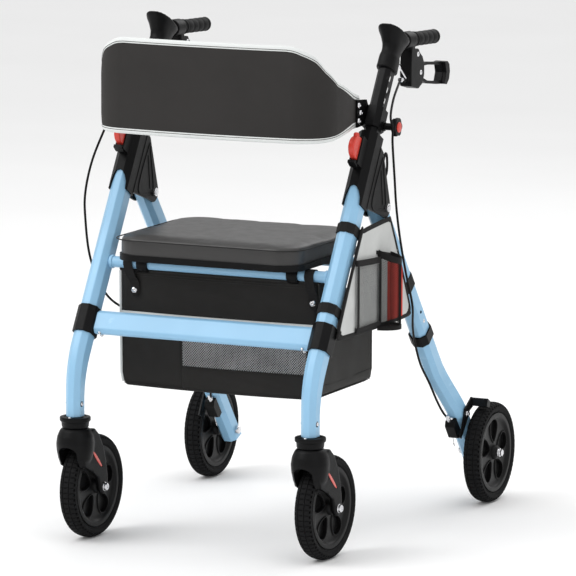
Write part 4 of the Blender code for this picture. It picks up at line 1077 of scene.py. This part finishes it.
def net(corners, cell, thick, bulge=None):
    """A square-mesh net, its threads on the diagonal, over a four-cornered patch."""
    a, b, c, d = [Vector(p) for p in corners]        # low left, low right, high right, high left
    across = max(2, round((b - a).length / cell))
    rise = max(2, round((d - a).length / cell))
    bm = bmesh.new()
    points = {}

    def spot(i, j):
        if (i, j) not in points:
            u, v = i / (2 * across), j / (2 * rise)
            p = a.lerp(b, u).lerp(d.lerp(c, u), v)
            points[i, j] = bm.verts.new(bulge(p, u, v) if bulge else p)
        return points[i, j]

    for i in range(2 * across + 1):
        for j in range(2 * rise + 1):
            if (i + j) % 2:
                continue
            around = [(i, j), (i + 1, j + 1), (i, j + 2), (i - 1, j + 1)]
            if i - 1 >= 0 and i + 1 <= 2 * across and j + 2 <= 2 * rise:
                bm.faces.new([spot(*q) for q in around])
    mesh = bpy.data.meshes.new("net")
    bm.to_mesh(mesh)
    bm.free()
    helper = bpy.data.objects.new("net", mesh)
    bpy.context.scene.collection.objects.link(helper)
    wire = helper.modifiers.new("wire", "WIREFRAME")
    wire.thickness, wire.use_even_offset = thick, False
    bpy.context.view_layer.update()
    freeze(helper)
    out = bmesh.new()
    out.from_mesh(helper.data)
    bpy.data.objects.remove(helper)
    return out


def quilt(corners, rows, columns, sag):
    """A thin sheet over four corners, given depth by sag(point, u, v)."""
    a, b, c, d = [Vector(p) for p in corners]
    bm = bmesh.new()
    grid = []
    for j in range(rows + 1):
        v = j / rows
        grid.append([bm.verts.new(sag(a.lerp(b, i / columns).lerp(d.lerp(c, i / columns), v),
                                      i / columns, v)) for i in range(columns + 1)])
    for j in range(rows):
        for i in range(columns):
            bm.faces.new((grid[j][i], grid[j][i + 1], grid[j + 1][i + 1], grid[j + 1][i]))
    return bm


def bag_part(name, bm, mat, angle, recalc=True):
    return piece(name, bm, mat, "front_frame", angle, recalc)


def pouch_part(name, bm, mat=WEBBING, angle=40, recalc=True, body="front_frame"):
    return piece("pouch_" + name, bm, mat, body, angle, recalc)


def bag():
    """The underseat bag: five sagging panels, a flap, a net window, bindings and hanging straps."""
    low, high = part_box("underseat_bag")
    x0, x1, y0, y1, z0, z1 = low.x, high.x, low.y, high.y, low.z, high.z
    rear_top = z1 - 0.050
    z1 = z1 + 0.0070
    flap_z = 0.4430
    wx0, wx1, wz0, wz1 = -0.081, 0.187, 0.3400, 0.4120       # the net window's edges

    def lean(depth, axis, sign):
        def sag(p, u, v):
            full = math.sin(math.pi * u) ** 0.7 * math.sin(math.pi * min(v * 1.05, 1.0)) ** 0.7
            ripple = 0.0012 * math.sin(u * 17 + v * 5) * math.sin(v * 9)
            p = p.copy()
            p[axis] += sign * (depth * full + ripple * full)
            return p
        return sag

    bag_pieces = []

    def panel(name, corners, mat, sag, rows=24, columns=24):
        sheet = bag_part(name, quilt(corners, rows, columns, sag), mat, 60)
        shell = sheet.modifiers.new("shell", "SOLIDIFY")
        shell.thickness, shell.offset = 0.0016, 0
        bag_pieces.append(sheet)

    front_low = y0 + 0.0060
    front_high = y0 + 0.0020

    def front(x, z):
        t = (z - z0) / (z1 - z0)
        return Vector((x, front_low + (front_high - front_low) * t, z))

    for name, a, b in (("left", (x0, z0), (wx0, flap_z)), ("right", (wx1, z0), (x1, flap_z)),
                       ("under", (wx0, z0), (wx1, wz0)), ("over", (wx0, wz1), (wx1, flap_z))):
        panel("bag_front_" + name, [front(a[0], a[1]), front(b[0], a[1]), front(b[0], b[1]),
                                    front(a[0], b[1])], NYLON, lean(0.0004, 1, -1), 12, 16)
    flap_y = Vector((0, -0.0022, 0))
    flap_corners = ((x0 + 0.004, flap_z - 0.004), (x1 - 0.004, flap_z - 0.004), (x1 - 0.004, z1),
                    (x0 + 0.004, z1))
    panel("bag_flap", [front(x, z) + flap_y for x, z in flap_corners], NYLON,
          lean(0.0022, 1, -1), 20, 40)
    panel("bag_side_L", [(x0, y1, z0), (x0, front_low, z0), (x0, front_high, z1), (x0, y1, rear_top)],
          NYLON_SIDE, lean(0.0040, 0, 1))
    panel("bag_side_R", [(x1, front_low, z0), (x1, y1, z0), (x1, y1, rear_top), (x1, front_high, z1)],
          NYLON_SIDE, lean(0.0040, 0, -1))
    panel("bag_rear", [(x1, y1, z0), (x0, y1, z0), (x0, y1, rear_top), (x1, y1, rear_top)], NYLON,
          lean(0.0070, 1, -1))
    panel("bag_floor", [(x0, front_low, z0), (x1, front_low, z0), (x1, y1, z0), (x0, y1, z0)], NYLON,
          lean(0.0030, 2, 1))
    mesh = net([front(wx0, wz0), front(wx1, wz0), front(wx1, wz1), front(wx0, wz1)], 0.0050, 0.0016,
               lambda p, u, v: p + Vector((0, -0.0010 * math.sin(math.pi * v), 0)))
    bag_pieces.append(bag_part("bag_net", mesh, PALE_NET, 40, recalc=False))

    def cord_line(name, points, radius, mat, closed=False):
        path = smooth_path(points, 8, closed)
        bag_pieces.append(bag_part(name, tube(path, radius, 10, closed), mat, 80))

    step = Vector((0, -0.0030, 0))
    flat = [front(x0 + 0.003, flap_z - 0.006) + step, front(x0 * 0.4, flap_z - 0.0064) + step,
            front(x1 * 0.4, flap_z - 0.0064) + step, front(x1 - 0.003, flap_z - 0.006) + step]
    cord_line("bag_flap_piping", flat, 0.0033, PIPING)
    for name, x, mat in (("L", x0, PIPING), ("R", x1, NYLON_SIDE)):
        corner = [front(x, z) + step * 0.3 for z in (z0 + 0.004, flap_z, z1 - 0.004)]
        cord_line("bag_corner_piping_" + name, corner, 0.0026, mat)
    for name, x in (("L", x0), ("R", x1)):
        cord_line("bag_side_edge_" + name, [(x, y1, z0 + 0.003), (x, y1, rear_top)], 0.0022, NYLON)
        cord_line("bag_low_edge_" + name, [(x, front_low, z0), (x, y1, z0)], 0.0024, NYLON)
        cord_line("bag_top_edge_" + name, [(x, front_high, z1), (x, y1, rear_top)], 0.0026, NYLON)
        seam = 0.0016 if x > 0 else -0.0016
        cord_line("bag_side_seam_" + name, [(x + seam * 0.2, front_low + 0.004, z0 + 0.024),
                                            (x - seam * 1.2, (y0 + y1) / 2, z0 + 0.021),
                                            (x + seam * 0.2, y1 - 0.004, z0 + 0.024)], 0.0009, NYLON)
    cord_line("bag_front_edge", [front(x0, z0), front(0, z0), front(x1, z0)], 0.0026, NYLON)
    cord_line("bag_top_front", [front(x0, z1) + step * 0.6, front(0, z1 - 0.001) + step,
                                front(x1, z1) + step * 0.6], 0.0030, NYLON)
    cord_line("bag_rear_edge", [(x0, y1, rear_top), (0, y1 - 0.004, rear_top - 0.004),
                                (x1, y1, rear_top)], 0.0030, NYLON)
    cord_line("bag_rear_low_edge", [(x0, y1, z0), (x1, y1, z0)], 0.0024, NYLON)
    frame_line = [front(wx0, wz0), front(wx1, wz0), front(wx1, wz1), front(wx0, wz1)]
    for k in range(4):
        a, b = frame_line[k] + step * 0.3, frame_line[(k + 1) % 4] + step * 0.3
        cord_line(f"bag_window_edge_{k}", [a, (a + b) / 2, b], 0.0015, NYLON)
    for k, drop in enumerate((0.0075, 0.0120)):
        stitches = [front(x0 + 0.006, z1 - drop) + step * 0.95,
                    front(0, z1 - drop - 0.0006) + step * 1.45,
                    front(x1 - 0.006, z1 - drop) + step * 0.95]
        cord_line(f"bag_flap_stitch_{k}", stitches, 0.0005, NYLON_SIDE)
    half, round_off = (x1 - x0) / 2, 0.0130
    for obj in bag_pieces:
        for vertex in obj.data.vertices:
            rise = min(max(vertex.co.z - z0, 0.0), round_off)
            tuck = round_off - math.sqrt(round_off ** 2 - (round_off - rise) ** 2)
            vertex.co.x *= 1 - tuck / half
            slack = 1 - (vertex.co.x / half) ** 2
            vertex.co.z -= 0.0030 * max(slack, 0) * min(max((z1 - vertex.co.z) / (z1 - z0), 0), 1)
    for obj in bag_pieces:
        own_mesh(obj)
    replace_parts(bag_pieces[0], "underseat_bag")
    bar = Vector(joints["seat_lift"]["pos_m"])
    for tag, x, lean_x in (("L", -0.190, 0.012), ("R", 0.196, 0.006)):
        path = [Vector((x - lean_x * 0.3, bar.y + 0.0120, bar.z - 0.030)),
                Vector((x, bar.y + 0.0130, bar.z - 0.004)), Vector((x, bar.y + 0.0070, bar.z + 0.0108)),
                Vector((x, bar.y - 0.0060, bar.z + 0.0112)), Vector((x, bar.y - 0.0132, bar.z)),
                Vector((x + lean_x * 0.5, bar.y - 0.0120, bar.z - 0.022)),
                Vector((x + lean_x, y0 - 0.0052, 0.4970)), Vector((x + lean_x * 1.1, y0 - 0.0046, 0.4700))]
        path = smooth_path(path, 6)
        ribbon = []
        for i, p in enumerate(path):
            t = i / (len(path) - 1)
            half = 0.0096 if t < 0.93 else 0.0096 * math.sqrt(max(1 - ((t - 0.93) / 0.075) ** 2, 0.02))
            ahead = (path[min(i + 1, len(path) - 1)] - path[max(i - 1, 0)]).normalized()
            normal = ahead.cross(Vector((1, 0, 0))).normalized()
            ribbon.append([p + Vector((half * s, 0, 0)) + normal * 0.0007 * n
                           for s, n in ((-1, -1), (1, -1), (1, 1), (-1, 1))])
        bag_part("bag_strap_" + tag, loft(ribbon), WEBBING, 40)
        chrome_dome(Vector((x + lean_x, y0 - 0.0060, 0.4830)), (0.1, -1, 0.15), 0.0066, 0.0044,
                    "front_frame", "bag_snap_" + tag, 32)


def side_pouch():
    """The pouch: a felted panel with a dark binding, a flat net pocket and a round net pocket."""
    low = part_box("side_pouch")[0]
    face = low.x + 0.0034
    corner = [(0.078, 0.452), (0.078, 0.436), (0.090, 0.424), (0.383, 0.424), (0.400, 0.434),
              (0.402, 0.450), (0.318, 0.612), (0.306, 0.624), (0.290, 0.626), (0.185, 0.618),
              (0.172, 0.610)]
    middle = (sum(y for y, _ in corner) / len(corner), sum(z for _, z in corner) / len(corner))
    inner = [(middle[0] + (y - middle[0]) * 0.985, middle[1] + (z - middle[1]) * 0.985)
             for y, z in corner]
    panel = slab([(STEM_Y + y, z) for y, z in inner], low.x + 0.0003, face)
    board = pouch_part("panel", panel, FELT)
    rounded(board, 0.0008, 2)
    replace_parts(board, "side_pouch")
    edge = smooth_path([at(low.x + 0.0018, *p) for p in inner], 5, closed=True)
    rim = sweep(edge, [(0.0052 * a, 0.0025 * b) for a, b in circle(1, 12)], Vector((1, 0, 0)),
                closed=True)
    pouch_part("binding", rim, angle=80)
    seam = [at(face + 0.0002, 0.150, 0.5600), at(face + 0.0002, 0.343, 0.5600)]
    pouch_part("seam", tube(seam, 0.0007, 6), FELT)
    outer, front, rear, base, high_z = 0.2815, 0.1480, 0.2500, 0.4310, 0.5600

    def bulge(p, u, v):
        return p + Vector((0.0012 * math.sin(math.pi * v), 0, 0))

    flat = net([at(outer, front, base), at(outer, rear, base), at(outer, rear, high_z),
                at(outer, front, high_z)], 0.0048, 0.0005, bulge)
    gusset = net([at(face, front, base), at(outer, front, base), at(outer, front, high_z),
                  at(face, front, high_z)], 0.0048, 0.0006)
    pouch_part("flat_net", join(flat, gusset), NET, recalc=False)
    centre, radius, hem, stretch = 0.2790, 0.0292, 0.4190, 1.17

    def cup(u, z, grow=0.0):
        a = math.radians(-90 + 180 * u)
        reach = radius + grow
        return at(face + reach * stretch * math.cos(a), centre + reach * math.sin(a), z)

    def cup_line(height, grow):
        """Points round the cup at a height that depends on how far round they are."""
        return [cup(i / 16, height(i / 16), grow) for i in range(17)]

    def rim_height(u):
        return 0.5670 - 0.0110 * u - 0.0120 * math.sin(math.pi * u)

    def wrap(p, u, v):
        return cup(u, hem + (rim_height(u) - hem) * v)

    around = math.pi * radius
    round_net = net([at(0, 0, hem), at(around, 0, hem), at(around, 0, 0.558), at(0, 0, 0.558)],
                    0.0046, 0.0013, wrap)
    pouch_part("cup_net", round_net, NET, recalc=False)

    def tape(name, path, half):
        band = sweep(path, [(-0.0010, -half), (0.0010, -half), (0.0010, half), (-0.0010, half)])
        pouch_part(name, band, angle=50)

    tape("cup_rim", cup_line(rim_height, 0.0004), 0.0062)
    tape("cup_hem", cup_line(lambda u: hem + 0.001, 0.0004), 0.0040)
    floor = cup_line(lambda u: hem, -0.0005)
    pouch_part("cup_floor", loft([floor, [p + Vector((0, 0, 0.0014)) for p in floor]]))
    strips = (("flat_rim", [at(face, front, high_z), at(outer, front, high_z),
                            at(outer + 0.0012, 0.199, high_z - 0.003), at(outer, rear, high_z - 0.006)],
               0.0060),
              ("flat_hem", [at(face, front, base), at(outer, front, base), at(outer, rear, base)], 0.0040))
    for name, points, half in strips:
        tape(name, smooth_path(points, 5), half)
    for name, back in (("front", front), ("middle", rear)):
        upright = sweep([at(outer, back, base), at(outer, back, high_z)],
                        [(-0.0034, -0.0009), (0.0034, -0.0009), (0.0034, 0.0009), (-0.0034, 0.0009)],
                        Vector((1, 0, 0)))
        pouch_part("upright_" + name, upright, angle=50)
    patch = slab([(STEM_Y + y, z) for y, z in ((0.2960, 0.4280), (0.3670, 0.4280), (0.3670, 0.5180),
                                              (0.3580, 0.5340), (0.2960, 0.5440))], face, face + 0.0009)
    pouch_part("red_patch", patch, POUCH_RED)
    bar = slab([(STEM_Y + y, z) for y, z in ((0.2420, 0.5650), (0.3540, 0.5430), (0.3530, 0.5500),
                                            (0.2420, 0.5725))], face, face + 0.0022)
    rounded(pouch_part("rear_rim", bar), 0.0006, 2)


def straps():
    """Webbing loops that tie the pouch to the legs, and the tab that spans to the rear leg."""
    octagon = [(0.0170, 0.0125), (0.0065, 0.0230), (-0.0065, 0.0230), (-0.0170, 0.0125),
               (-0.0170, -0.0125), (-0.0065, -0.0230), (0.0065, -0.0230), (0.0170, -0.0125)]
    slack = 1.02

    def loop(half, scale):
        path = [Vector((x * scale[0] * slack, y * scale[1] * slack, 0)) for x, y in octagon]
        rings = []
        for outward, z in ((0, -half), (0.09, -half), (0.09, half), (0, half)):
            rings.append([p * (1 + outward) + Vector((0, 0, z)) for p in path])
        return loft(rings, closed=True)

    for name, along in (("high", 0.2250), ("low", 0.0580)):
        ring = moved(loop(0.0100, (1, 1)), Matrix.Translation((0, 0, along)))
        pouch_part("strap_" + name, on_leg(ring, 1), angle=25)
        start = leg(LEG_X + 0.0180, 0.0100, along)
        tab = loft([[start + Vector((0.0007 * n, 0, 0)) + BEHIND * (0.016 * s) + ALONG * (0.0100 * m)
                     for n, m in ((-1, -1), (1, -1), (1, 1), (-1, 1))] for s in (-1, 1)])
        pouch_part("tab_" + name, tab)
    tilt = Matrix.Rotation(math.atan(REAR_SLOPE), 4, "X")
    z = 0.4830
    back = REAR_PIVOT.y + (REAR_PIVOT.z - z) * REAR_SLOPE
    ring = moved(loop(0.0150, (0.97, 0.915)), Matrix.Translation((LEG_X, back, z)) @ tilt)
    pouch_part("strap_rear", ring, angle=25, body="rear_frame")


def main():
    studio()
    dress_frame()
    rear_wheels()
    for tag, side in SIDES:
        caster_body(tag, side)
    caster_sockets()
    handle_heads()
    grips()
    brake_housings()
    post_marks()
    tubes()
    housing_details()
    small_fittings()
    cables()
    backrest()
    seat()
    bag()
    side_pouch()
    straps()


main()
